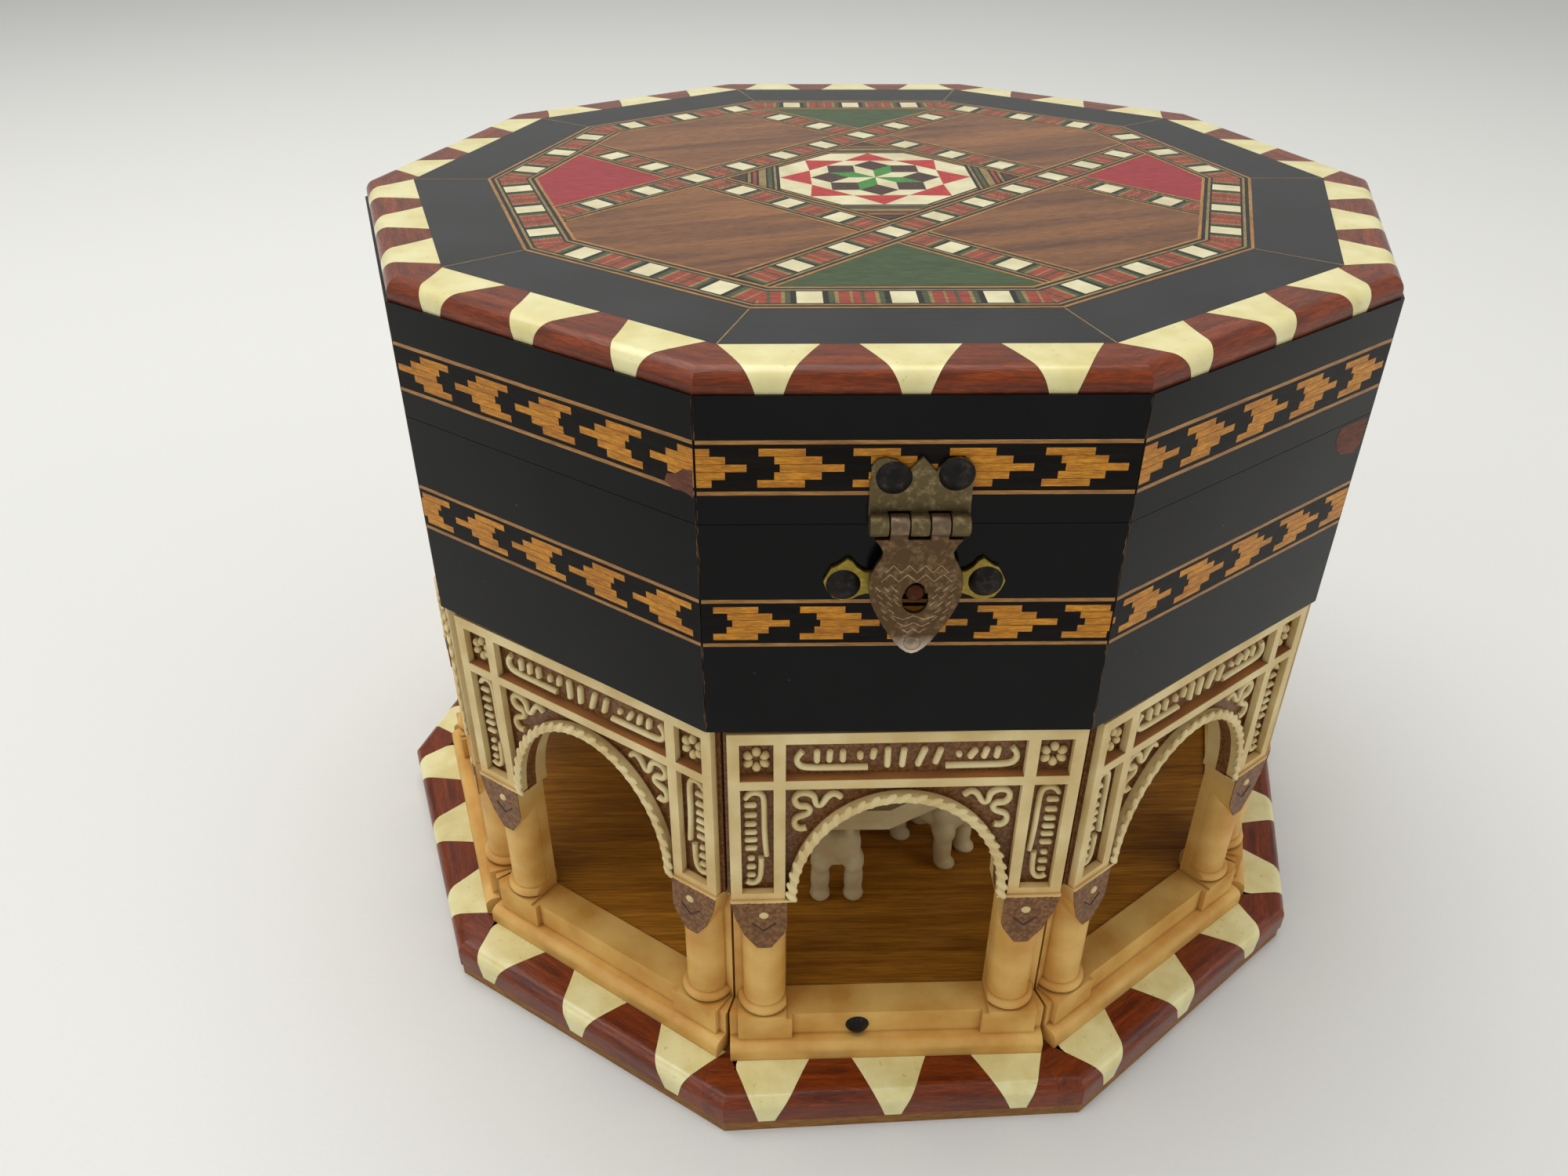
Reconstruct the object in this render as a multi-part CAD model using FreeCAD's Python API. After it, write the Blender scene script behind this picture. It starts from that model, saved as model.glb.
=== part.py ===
# Ten-sided inlaid wooden box raised on a moulded arcade, with a lion fountain in its court.
# Millimetres. Origin: centre of the base's underside. +Z up, the clasp faces -Y.
# Each piece is written to parts/ as its own STEP file.
import FreeCAD
import Part
import math
import os

V = FreeCAD.Vector
Z_AXIS = V(0, 0, 1)
ORIGIN = V(0, 0, 0)

# ---------------------------------------------------------------- overall layout
sides = 10
lid_apothem = 100.0            # centre to flat, outer edge of the lid's rim
wall_apothem = 100.5           # centre to flat, outer face of the box and lid walls
base_apothem = 112.2           # centre to flat, outer edge of the base rim
base_turn_deg = 2.5            # the base sits slightly turned under the box
arcade_turn_deg = 1.0          # so does the arcade, by less

# heights, each the thickness of one layer
bottom_board_t = 3.2
bottom_inset = 0.4             # bottom board behind the base rim's edge
base_plate_t = 6.2
arcade_height = 84.5
seat_gap = 0.1                 # between stacked glued layers
wall_height = 40.4             # box wall
lid_wall_height = 20.9
rim_t = 3.6                    # lid rim strip, flush with the top
veneer_t = 1.2                 # marquetry on the lid

# ---------------------------------------------------------------- box and lid joinery
wall_t = 6.5
mitre_gap = 0.06               # half the joint between two neighbouring walls
box_floor_t = 4.5
floor_fit = 0.1                # box floor and lid board inside the walls
lid_board_t = 7.8
lid_board_step = 5.4           # depth of the lid board that drops inside the walls
band_height = 9.0
band_depth = 1.0
body_band_z_in_wall = 17.85    # band's lower edge above the wall's lower edge
lid_band_z_in_wall = 4.95
glue_line = 0.03               # inlay in its groove

# ---------------------------------------------------------------- rim inlay
rim_width = 9.64
base_rim_width = 10.2
rim_round = 2.6                # round-over on the rim's outer edge
ivory_waist = 0.6              # how far each side of an ivory piece bows in
ivory_pitch = 20.8             # lid rim
ivory_inner_w = 15.1
ivory_outer_w = 4.1
base_ivory_pitch = 24.7        # base rim
base_ivory_inner_w = 16.4
base_ivory_outer_w = 5.2
ivory_per_side = 3

# ---------------------------------------------------------------- lid marquetry
border_outer_apothem = 75.8
border_width = 9.8
strap_width = 9.6
strap_centre = 26.45          # from the lattice's centre to a strap's centre line
rosette_half = 20.0            # centre to the rosette's four square sides
lattice_turn_deg = 0.7         # straps and rosette are laid slightly turned and off centre
lattice_shift_x = 1.0
lattice_shift_y = 0.9

# ---------------------------------------------------------------- arcade panel
panel_t = 7.0                  # from inner face to the faces of the frame bars
panel_face = 100.0             # apothem of the frame bars' faces
panel_recess = 2.0             # frame bars stand this proud of the cells
panel_half_w = 32.0
panel_mitre_gap = 0.25
sill_height = 10.2
lip_height = 4.0
lip_reach = 3.3                # lip beyond the panel's face
sill_nail_x = -6.0
sill_nail_r = 2.4
opening_half_w = 20.5          # between the columns
arch_half_w = 18.9
arch_rise = 23.9
arch_spring = 44.2             # above the panel's foot
trim_w = 1.4
trim_proud = 0.5
column_r = 4.25
column_s = 24.85               # column axis along the side
column_sink = 4.1              # column axis behind the panel's face
backing_t = 2.5                # web behind the columns
plinth_w = 11.0
plinth_bottom = 1.6
plinth_top = 10.8
plinth_proud = 1.2
sill_t = 1.8                   # the sill in front of the court floor
torus_r = 1.1
capital_bottom = 30.8
capital_half_w = 6.3
capital_tip_w = 2.6
capital_proud = 0.4
rail_bottom = 43.3
bar_w = 2.1
outer_bar_s = 29.9
inner_bar_s = 21.9
mid_rail_z = 71.3
mid_rail_h = 1.9
top_rail_z = 81.6
rail_h = 2.3

# ---------------------------------------------------------------- court and fountain
court_floor_t = 9.6
court_fit = 0.2
fountain_x = -7.0
fountain_y = -29.0
lion_count = 8
lion_ring_r = 42.0             # fountain centre to the lions' toes
lion_w = 12.5
lion_len = 21.0
lion_leg_w = 5.25
lion_leg_len = 5.0
lion_leg_h = 9.0
lion_back_h = 17.5
lion_head_r = 5.2
lion_head_h = 17.8
basin_r = 41.5                 # centre to corner
basin_h = 5.5
basin_wall = 3.0
basin_floor_t = 1.6
lion_to_basin = 0.1
column_foot_r = 9.0

# ---------------------------------------------------------------- clasp
plate_t = 0.8
clasp_x = 0.6
clasp_plate_half_w = 7.6
clasp_plate_h = 9.7
clasp_peak = 0.1
clasp_notch = 2.2
knuckle_r = 1.8
knuckle_count = 5
knuckle_gap = 0.15
pin_r = 0.8
pin_fit = 0.05
hasp_axis_off = 1.85           # axis in front of the wall
hasp_axis_up = 0.85            # axis above the lid's lower edge
tab_t = 0.9
tab_off = 2.0                  # back of the tab in front of the wall
tab_len = 23.0                 # axis to tip
tab_neck_half_w = 5.3
tab_shoulder_half_w = 7.4
tab_half_w = 7.2
tab_tip_r = 1.6
hole_low = 15.35               # hole's lower end below the axis
hole_high = 9.65
hole_half_w = 2.25
stud_r = 1.75
stud_h = 1.1
stud_below_axis = 11.9
catch_half_w = 14.1
catch_h = 5.0
catch_below_axis = 11.05
catch_lobe_r = 2.9
nail_head_r = 2.7
nail_head_h = 1.5
nail_shank_r = 0.6
nail_len = 5.0
nail_fit = 0.04

# ---------------------------------------------------------------- rear hinges
hinge_x = 21.0
hinge_w = 15.0
hinge_leaf_h = 8.0
hinge_leaf_t = 0.7
hinge_knuckle_r = 1.5
hinge_axis_off = 1.6
hinge_pin_r = 0.6
hinge_nail_r = 1.1
hinge_nail_h = 0.6

# ---------------------------------------------------------------- derived levels
half_side = math.pi / sides
tan_half = math.tan(half_side)
z_base = bottom_board_t
z_arcade = z_base + base_plate_t
z_arcade_top = z_arcade + arcade_height
z_wall = z_arcade_top + seat_gap
z_wall_top = z_wall + wall_height
z_lid = z_wall_top + seat_gap
z_rim = z_lid + lid_wall_height
z_top = z_rim + rim_t
z_veneer = z_top - veneer_t
z_court = z_arcade + court_floor_t
wall_inner = wall_apothem - wall_t
panel_inner = panel_face - panel_t
hasp_axis_y = -(wall_apothem + hasp_axis_off)
hasp_axis_z = z_lid + hasp_axis_up
hinge_axis_y = wall_apothem + hinge_axis_off
hinge_axis_z = z_lid - seat_gap / 2

os.makedirs("parts", exist_ok=True)


# ---------------------------------------------------------------- helpers
def save(name, shape):
    """Write one node, checked for validity, as parts/NAME.step."""
    solids = shape.Solids
    bad = [s for s in solids if not s.isValid()]
    if not solids or bad:
        print("PROBLEM", name, len(solids), "solids", len(bad), "invalid")
    shape = solids[0] if len(solids) == 1 else Part.makeCompound(solids)
    shape.exportStep("parts/" + name + ".step")
    print(name, len(solids), round(shape.Volume, 1))


def prism(points, z0, z1):
    """Vertical prism on a list of (x, y) corners."""
    loop = [V(x, y, z0) for x, y in points]
    face = Part.Face(Part.makePolygon(loop + [loop[0]]))
    return face.extrude(V(0, 0, z1 - z0))


def decagon(apothem, z0, z1, turn_deg=0.0):
    """Ten-sided prism with a flat at the front, turned about Z."""
    radius = apothem / math.cos(half_side)
    turn = math.radians(turn_deg)
    corners = []
    for k in range(sides):
        a = -math.pi / 2 + half_side + 2 * half_side * k + turn
        corners.append((radius * math.cos(a), radius * math.sin(a)))
    return prism(corners, z0, z1)


def side_block(n0, n1, z0, z1, gap):
    """Mitred length of the front side between apothems n0 and n1."""
    w0 = n0 * tan_half - gap
    w1 = n1 * tan_half - gap
    return prism([(-w0, -n0), (w0, -n0), (w1, -n1), (-w1, -n1)], z0, z1)


def place(shape, k, turn_deg=0.0):
    """Turn a front-side shape round to side k."""
    out = shape.copy()
    out.rotate(ORIGIN, Z_AXIS, 360.0 * k / sides + turn_deg)
    return out


def box(x0, x1, n0, n1, z0, z1):
    """Block on the front side: x range, distance range from the centre, height range."""
    return Part.makeBox(x1 - x0, n1 - n0, z1 - z0, V(x0, -n1, z0))


def profile(points, n0, n1):
    """Front-side plate on a closed list of (x, z) corners."""
    loop = [V(x, -n1, z) for x, z in points]
    face = Part.Face(Part.makePolygon(loop + [loop[0]]))
    return face.extrude(V(0, n1 - n0, 0))


def smooth_plate(points, n0, n1):
    """Front-side plate whose outline is one smooth curve through (x, z) points plus a straight top."""
    curve = Part.BSplineCurve()
    curve.interpolate([V(x, -n1, z) for x, z in points])
    ends = Part.makeLine(V(points[-1][0], -n1, points[-1][1]), V(points[0][0], -n1, points[0][1]))
    return Part.Face(Part.Wire([curve.toShape(), ends])).extrude(V(0, n1 - n0, 0))


def rod_x(r, x0, x1, y, z):
    """Cylinder along X."""
    return Part.makeCylinder(r, x1 - x0, V(x0, y, z), V(1, 0, 0))


def rod_n(r, x, z, n0, n1):
    """Cylinder on the front side, along the side's normal."""
    return Part.makeCylinder(r, n1 - n0, V(x, -n0, z), V(0, -1, 0))


def nail(x, z, n, head_r, head_h):
    """Domed nail driven square into the front side, head seated at distance n."""
    ball_r = (head_r ** 2 + head_h ** 2) / (2 * head_h)
    ball = Part.makeSphere(ball_r, V(x, -(n + head_h - ball_r), z))
    head = ball.common(box(x - head_r - 1, x + head_r + 1, n, n + head_h + 1, z - head_r - 1, z + head_r + 1))
    return head.fuse(rod_n(nail_shank_r, x, z, n - nail_len, n + head_h / 2)).removeSplitter()


def nail_hole(x, z, n):
    """Hole that a nail's shank fills, with its fit."""
    return rod_n(nail_shank_r + nail_fit, x, z, n - nail_len - nail_fit, n + 1)


# ---------------------------------------------------------------- rim inlay
def ivory_outline(centre, widths, n_in, n_out, z0, z1):
    """One ivory piece: wide inside, narrow outside, its two sides bowed in."""
    wi = widths[0] / 2
    wo = widths[1] / 2
    nm = (n_in + n_out) / 2
    xm = (wi + wo) / 2 - ivory_waist
    a = V(centre - wi, -n_in, z0)
    b = V(centre + wi, -n_in, z0)
    c = V(centre + wo, -n_out, z0)
    d = V(centre - wo, -n_out, z0)
    right = Part.Arc(b, V(centre + xm, -nm, z0), c).toShape()
    left = Part.Arc(d, V(centre - xm, -nm, z0), a).toShape()
    wire = Part.Wire([Part.makeLine(a, b), right, Part.makeLine(c, d), left])
    return Part.Face(wire).extrude(V(0, 0, z1 - z0))


def rim(n_out, width, z0, z1, pitch, widths, turn_deg):
    """Rounded rim ring cut into its ivory and mahogany pieces."""
    disc = decagon(n_out, z0, z1)
    edges = [e for e in disc.Edges if abs(e.BoundBox.ZMin - z1) < 1e-6 and abs(e.BoundBox.ZMax - z1) < 1e-6]
    disc = disc.makeFillet(rim_round, edges)
    ring = disc.cut(decagon(n_out - width, z0 - 1, z1 + 1))
    teeth = []
    for k in range(sides):
        for j in range(ivory_per_side):
            centre = (j - (ivory_per_side - 1) / 2) * pitch
            tooth = ivory_outline(centre, widths, n_out - width - 0.001, n_out + 0.001, z0 - 0.5, z1 + 0.5)
            teeth.append(place(tooth, k))
    teeth = Part.makeCompound(teeth)
    ivory = ring.common(teeth)
    wood = ring.cut(teeth)
    for s in (ivory, wood):
        s.rotate(ORIGIN, Z_AXIS, turn_deg)
    return ivory, wood


# ---------------------------------------------------------------- base
save("bottom_board", decagon(base_apothem - bottom_inset, 0, z_base, base_turn_deg))
save("base_plate", decagon(base_apothem - base_rim_width - glue_line, z_base, z_arcade, base_turn_deg))
base_widths = (base_ivory_inner_w, base_ivory_outer_w)
ivory, wood = rim(base_apothem, base_rim_width, z_base, z_arcade, base_ivory_pitch, base_widths, base_turn_deg)
save("base_rim_ivory", ivory)
save("base_rim_mahogany", wood)


# ---------------------------------------------------------------- arcade
def arch_face(half_w, rise, n0, n1):
    """Half-ellipse over the spring line, as a plate."""
    steps = 16
    pts = []
    for i in range(steps + 1):
        a = math.pi * i / steps
        pts.append((half_w * math.cos(a), z_arcade + arch_spring + rise * math.sin(a)))
    return smooth_plate(pts, n0, n1)


def arcade_panel():
    """One arcade panel, front side, not yet turned."""
    z0 = z_arcade
    z1 = z_arcade_top
    recess_face = panel_face - panel_recess
    web_face = panel_inner + backing_t
    z_rail = z0 + rail_bottom
    body = side_block(panel_inner, recess_face, z0, z1, panel_mitre_gap)
    for sign in (-1, 1):
        lo, hi = sorted((sign * opening_half_w, sign * (panel_half_w + 2)))
        body = body.cut(box(lo, hi, web_face, recess_face + 1, z0 + sill_height, z_rail))
    parts = [box(-panel_half_w, panel_half_w, recess_face - 1, panel_face, z0, z0 + sill_height)]
    lip = box(-panel_half_w, panel_half_w, recess_face - 1, panel_face + lip_reach, z0, z0 + lip_height)
    edge = [e for e in lip.Edges if e.BoundBox.YLength < 1e-6 and e.BoundBox.ZLength < 1e-6
            and abs(e.BoundBox.YMin + panel_face + lip_reach) < 1e-6 and e.BoundBox.ZMin > z0 + 1]
    parts.append(lip.makeFillet(lip_height * 0.45, edge))
    out_hi = outer_bar_s + bar_w / 2
    out_lo = outer_bar_s - bar_w / 2
    in_hi = inner_bar_s + bar_w / 2
    in_lo = inner_bar_s - bar_w / 2
    for sign in (-1, 1):
        for lo, hi in ((out_lo, out_hi), (in_lo, in_hi)):
            x0, x1 = sorted((sign * lo, sign * hi))
            parts.append(box(x0, x1, recess_face - 1, panel_face, z_rail, z0 + top_rail_z + rail_h))
        x0, x1 = sorted((sign * in_lo, sign * out_hi))
        parts.append(box(x0, x1, recess_face - 1, panel_face, z_rail, z_rail + bar_w))
        cx = sign * column_s
        cy = -(panel_face - column_sink)
        col_z = z0 + sill_height
        parts.append(Part.makeCylinder(column_r, z_rail - col_z + 0.5, V(cx, cy, col_z)))
        parts.append(Part.makeTorus(column_r, torus_r, V(cx, cy, z0 + plinth_top + torus_r)))
        parts.append(box(cx - plinth_w / 2, cx + plinth_w / 2, web_face, panel_face + plinth_proud,
                         z0 + plinth_bottom, z0 + plinth_top))
        drop = z_rail - z0 - capital_bottom
        half_cap = [(capital_half_w, z_rail + 0.5), (capital_half_w * 0.86, z_rail - drop * 0.33),
                    (capital_half_w * 0.6, z_rail - drop * 0.7), (capital_tip_w / 2, z0 + capital_bottom)]
        cap = [(cx + x, z) for x, z in half_cap] + [(cx - x, z) for x, z in reversed(half_cap)]
        parts.append(profile(cap, web_face, panel_face + capital_proud))
    for zr, height in ((mid_rail_z, mid_rail_h), (top_rail_z, rail_h)):
        parts.append(box(-out_hi, out_hi, recess_face - 1, panel_face, z0 + zr, z0 + zr + height))
    body = body.multiFuse(parts)
    trim = arch_face(arch_half_w + trim_w, arch_rise + trim_w, recess_face - 1, panel_face + trim_proud)
    body = body.fuse(trim)
    body = body.cut(box(-opening_half_w, opening_half_w, panel_inner - 1, panel_face + 9,
                        z0 + sill_height, z_rail))
    body = body.cut(box(-arch_half_w, arch_half_w, panel_inner - 1, panel_face + 9,
                        z_rail - 0.01, z0 + arch_spring + 0.01))
    body = body.cut(arch_face(arch_half_w, arch_rise, panel_inner - 1, panel_face + 9))
    room = side_block(panel_inner - 4, panel_face + lip_reach + 1, z0, z1, panel_mitre_gap)
    body = body.common(room)
    floor_room = side_block(panel_inner - 5, panel_face - sill_t, z0 - 1, z0 + court_floor_t + seat_gap, -9)
    return body.cut(floor_room).removeSplitter()


sill_nail_z = z_arcade + lip_height + sill_nail_r + 0.1
panel_front = arcade_panel()
panel_nailed = panel_front.cut(nail_hole(sill_nail_x, sill_nail_z, panel_face))
sill_nails = []
for k in range(sides):
    nailed = k == 0
    save("arcade_panel_%02d" % (k + 1), place(panel_nailed if nailed else panel_front, k, arcade_turn_deg))
    if nailed:
        one = nail(sill_nail_x, sill_nail_z, panel_face, sill_nail_r, nail_head_h)
        sill_nails.append(place(one, k, arcade_turn_deg))


# ---------------------------------------------------------------- court and fountain
sill_nail_hole = place(nail_hole(sill_nail_x, sill_nail_z, panel_face), 0, arcade_turn_deg)
court = decagon(panel_face - sill_t - court_fit, z_arcade, z_court, arcade_turn_deg)
save("court_floor", court.cut(sill_nail_hole))


def lion():
    """One standing lion, toes at the ring's front, facing outwards along -Y."""
    zf = z_court
    y0 = -lion_ring_r
    y1 = y0 + lion_len
    hw = lion_w / 2
    body = Part.makeBox(lion_w, lion_len - 1.5, lion_back_h - lion_leg_h, V(-hw, y0 + 0.8, zf + lion_leg_h))
    long_edges = [e for e in body.Edges if e.BoundBox.XLength < 1e-6 and e.BoundBox.ZLength < 1e-6
                  and e.BoundBox.ZMin > zf + lion_leg_h + 1]
    body = body.makeFillet(3.0, long_edges)
    parts = []
    for sign in (-1, 1):
        x0 = sorted((sign * hw, sign * (hw - lion_leg_w)))[0]
        parts.append(Part.makeBox(lion_leg_w, lion_leg_len, lion_leg_h + 0.5, V(x0, y0 + 0.8, zf)))
        parts.append(Part.makeBox(lion_leg_w, lion_leg_len, lion_leg_h + 0.5, V(x0, y1 - 0.7 - lion_leg_len, zf)))
        paw = Part.makeBox(lion_leg_w, lion_leg_len, 2.0, V(x0, y0, zf))
        parts.append(paw)
    parts.append(Part.makeSphere(lion_head_r, V(0, y0 + 3.2, zf + lion_head_h)))
    out = body.multiFuse(parts).removeSplitter()
    return out.cut(Part.makeBox(99, 99, 20, V(-50, y0 - 20, zf + lion_top)))


lion_top = 20.9
lions = []
for k in range(lion_count):
    one = lion()
    one.rotate(ORIGIN, Z_AXIS, 360.0 * k / lion_count)
    one.translate(V(fountain_x, fountain_y, 0))
    lions.append(one)
save("fountain_lions", Part.makeCompound(lions))


def polygon_disc(n, r, z0, z1):
    """Regular prism centred on the fountain."""
    pts = []
    for k in range(n):
        a = 2 * math.pi * (k + 0.5) / n - math.pi / 2
        pts.append((fountain_x + r * math.cos(a), fountain_y + r * math.sin(a)))
    return prism(pts, z0, z1)


z_basin = z_court + lion_top + lion_to_basin
basin = polygon_disc(12, basin_r, z_basin, z_basin + basin_h)
basin = basin.cut(polygon_disc(12, basin_r - basin_wall, z_basin + basin_floor_t, z_basin + basin_h + 1))
foot = Part.makeCylinder(column_foot_r, z_basin - z_court + 0.5, V(fountain_x, fountain_y, z_court))
save("fountain_basin", basin.fuse(foot).removeSplitter())

# ---------------------------------------------------------------- box walls
hinge_span = hinge_leaf_h
clasp_nails = [(-4.1, 8.2), (5.1, 8.7)]           # from the clasp's centre, above the lid's lower edge
catch_nails = [(-11.0, 11.25), (11.0, 10.75)]      # from the clasp's centre, below the hasp axis
hinge_nail_pos = [-4.6, 4.6]
hinge_nail_up = 5.2


def wall(height, z0, band_z):
    """One mitred wall with the groove for its inlay band."""
    out = side_block(wall_inner, wall_apothem, z0, z0 + height, mitre_gap)
    return out.cut(side_block(wall_apothem - band_depth - glue_line, wall_apothem + 1, band_z - glue_line,
                              band_z + band_height + glue_line, -5))


def band(band_z):
    """Ten mitred inlay strips."""
    strip = side_block(wall_apothem - band_depth, wall_apothem, band_z, band_z + band_height, mitre_gap)
    return strip


def catch_point(x, below):
    """World x and z of a catch nail."""
    return clasp_x + x, hasp_axis_z - below


def lid_point(x, above):
    """World x and z of a clasp plate nail."""
    return clasp_x + x, z_lid + above


def rear(shape):
    """Carry a front-side shape to the back side, keeping its x."""
    return shape.mirror(ORIGIN, V(0, 1, 0))


body_band_z = z_wall + body_band_z_in_wall
lid_band_z = z_lid + lid_band_z_in_wall
body_holes_front = [nail_hole(*catch_point(x, d), wall_apothem + plate_t) for x, d in catch_nails]
lid_holes_front = [nail_hole(*lid_point(x, u), wall_apothem + plate_t) for x, u in clasp_nails]
body_holes_rear = []
lid_holes_rear = []
for hx in (-hinge_x, hinge_x):
    for dx in hinge_nail_pos:
        n_leaf = wall_apothem + hinge_leaf_t
        body_holes_rear.append(rear(nail_hole(hx + dx, hinge_axis_z - hinge_nail_up, n_leaf)))
        lid_holes_rear.append(rear(nail_hole(hx + dx, hinge_axis_z + hinge_nail_up, n_leaf)))
body_holes = Part.makeCompound(body_holes_front + body_holes_rear)
lid_holes = Part.makeCompound(lid_holes_front + lid_holes_rear)

save("box_floor", decagon(wall_inner - floor_fit, z_wall, z_wall + box_floor_t))
body_wall = wall(wall_height, z_wall, body_band_z)
lid_wall = wall(lid_wall_height, z_lid, lid_band_z)
back = sides // 2
for k in range(sides):
    one = place(body_wall, k)
    two = place(lid_wall, k)
    if k in (0, back):
        one = one.cut(body_holes)
        two = two.cut(lid_holes)
    save("body_wall_%02d" % (k + 1), one)
    save("lid_wall_%02d" % (k + 1), two)
body_strips = Part.makeCompound([place(band(body_band_z), k) for k in range(sides)])
lid_strips = Part.makeCompound([place(band(lid_band_z), k) for k in range(sides)])
save("body_inlay_bands", body_strips.cut(body_holes))
save("lid_inlay_bands", lid_strips.cut(lid_holes))

# ---------------------------------------------------------------- lid board and rim
board_low = z_rim - lid_board_step
board = decagon(wall_inner - floor_fit, board_low, z_rim)
board = board.fuse(decagon(lid_apothem - rim_width - glue_line, z_rim, z_veneer)).removeSplitter()
save("lid_top_board", board)
ivory, wood = rim(lid_apothem, rim_width, z_rim, z_top, ivory_pitch, (ivory_inner_w, ivory_outer_w), 0.0)
save("lid_rim_ivory", ivory)
save("lid_rim_mahogany", wood)

# ---------------------------------------------------------------- lid marquetry
border_inner = border_outer_apothem - border_width
ebony = decagon(lid_apothem - rim_width - glue_line, z_veneer, z_top)
save("lid_ebony_border", ebony.cut(decagon(border_outer_apothem, z_veneer - 1, z_top + 1)))
ring = decagon(border_outer_apothem, z_veneer, z_top)
field = decagon(border_inner, z_veneer, z_top)
save("marquetry_border", ring.cut(field))


def strap(angle_deg):
    """One strap's strip, square to a diagonal."""
    out = Part.makeBox(300, strap_width, veneer_t + 2, V(-150, strap_centre - strap_width / 2, z_veneer - 1))
    out.rotate(ORIGIN, Z_AXIS, angle_deg + lattice_turn_deg)
    out.translate(V(lattice_shift_x, lattice_shift_y, 0))
    return out


strips = [strap(45 + 90 * k) for k in range(4)]
lattice = strips[0].multiFuse(strips[1:])
save("marquetry_straps", field.common(lattice).removeSplitter())
panels = field.cut(lattice).Solids
groups = {"centre": [], "walnut": [], "green": [], "red": []}
for p in panels:
    x, y = p.CenterOfMass.x, p.CenterOfMass.y
    if math.hypot(x, y) < 5:
        groups["centre"].append(p)
    elif abs(x) < 5:
        groups["green"].append(p)
    elif abs(y) < 5:
        groups["red"].append(p)
    else:
        groups["walnut"].append(p)
save("walnut_panels", Part.makeCompound(groups["walnut"]))
save("green_panels", Part.makeCompound(groups["green"]))
save("red_panels", Part.makeCompound(groups["red"]))
h = rosette_half
octagon = prism([(-h, -h), (h, -h), (h, h), (-h, h)], z_veneer - 1, z_top + 1)
octagon.rotate(ORIGIN, Z_AXIS, lattice_turn_deg)
octagon.translate(V(lattice_shift_x, lattice_shift_y, 0))
centre = groups["centre"][0]
save("star_rosette", centre.common(octagon))
save("rosette_corners", centre.cut(octagon))

# ---------------------------------------------------------------- clasp
knuckle_l = 2 * clasp_plate_half_w / knuckle_count


def knuckles(indices, gap):
    """Knuckle barrels of the clasp, numbered from the left."""
    out = []
    for j in indices:
        x0 = clasp_x - clasp_plate_half_w + j * knuckle_l + gap
        out.append(rod_x(knuckle_r, x0, x0 + knuckle_l - 2 * gap, hasp_axis_y, hasp_axis_z))
    return out


def clearances(indices):
    """Room round the other leaf's knuckles."""
    out = []
    for j in indices:
        x0 = clasp_x - clasp_plate_half_w + j * knuckle_l - knuckle_gap
        out.append(rod_x(knuckle_r + knuckle_gap, x0, x0 + knuckle_l + 2 * knuckle_gap, hasp_axis_y, hasp_axis_z))
    return Part.makeCompound(out)


lid_knuckles = (0, 2, 4)
tab_knuckles = (1, 3)
w = clasp_plate_half_w
foot = hasp_axis_z + 0.85
top = foot + clasp_plate_h
half = [(w, foot), (w, top - 4.3), (w - 0.25, top - 3.1), (w - 0.1, top - 1.5), (w - 0.9, top - 0.4), (w - 2.2, top),
        (w - 3.9, top - 0.4), (2.05, top - clasp_notch), (1.1, top - clasp_notch / 2), (0, top + clasp_peak)]
outline = [(clasp_x + x, z) for x, z in half] + [(clasp_x - x, z) for x, z in reversed(half[:-1])]
plate = profile(outline, wall_apothem, wall_apothem + plate_t).multiFuse(knuckles(lid_knuckles, knuckle_gap / 2))
plate = plate.cut(clearances(tab_knuckles))
bore = rod_x(pin_r + pin_fit, clasp_x - w - 1, clasp_x + w + 1, hasp_axis_y, hasp_axis_z)
plate = plate.cut(bore).cut(Part.makeCompound(lid_holes_front))
save("hasp_plate", plate.removeSplitter())
save("hasp_pin", rod_x(pin_r, clasp_x - w + knuckle_gap, clasp_x + w - knuckle_gap, hasp_axis_y, hasp_axis_z))
hasp_nails = [nail(*lid_point(x, u), wall_apothem + plate_t, nail_head_r, nail_head_h) for x, u in clasp_nails]

tab_n0 = wall_apothem + tab_off
tab_n1 = tab_n0 + tab_t
za = hasp_axis_z
side = [(tab_shoulder_half_w, 0.9), (tab_neck_half_w, 4.2), (tab_half_w - 0.2, 8.3), (tab_half_w, 10.0),
        (tab_half_w - 0.1, 11.9), (6.0, 15.3), (3.8, 19.3), (1.9, 21.9), (0.9, tab_len - 0.3), (0.0, tab_len)]
outline = [(clasp_x + x, za - d) for x, d in side] + [(clasp_x - x, za - d) for x, d in reversed(side[:-1])]
tab = profile(outline, tab_n0, tab_n1)
tip_z = za - tab_len + tab_tip_r + 0.4
tip = Part.makeSphere(tab_tip_r, V(clasp_x, -(tab_n0 + tab_t / 2 + 0.3), tip_z))
tab = tab.multiFuse(knuckles(tab_knuckles, knuckle_gap / 2) + [tip])
tab = tab.cut(clearances(lid_knuckles)).cut(bore)
eye = []
for i in range(25):
    a = 2 * math.pi * i / 24
    lift = (hole_low + hole_high) / 2 - (hole_low - hole_high) / 2 * math.sin(a)
    narrow = 1.0 - 0.22 * (math.sin(a) + 1) / 2
    eye.append((clasp_x + hole_half_w * narrow * math.cos(a), za - lift))
eye_curve = Part.BSplineCurve()
eye_curve.interpolate([V(x, -tab_n1 - 1, z) for x, z in eye[:-1]], PeriodicFlag=True)
eye_cut = Part.Face(Part.Wire([eye_curve.toShape()])).extrude(V(0, tab_t + 2, 0))
save("hasp_tab", tab.cut(eye_cut).removeSplitter())

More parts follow.
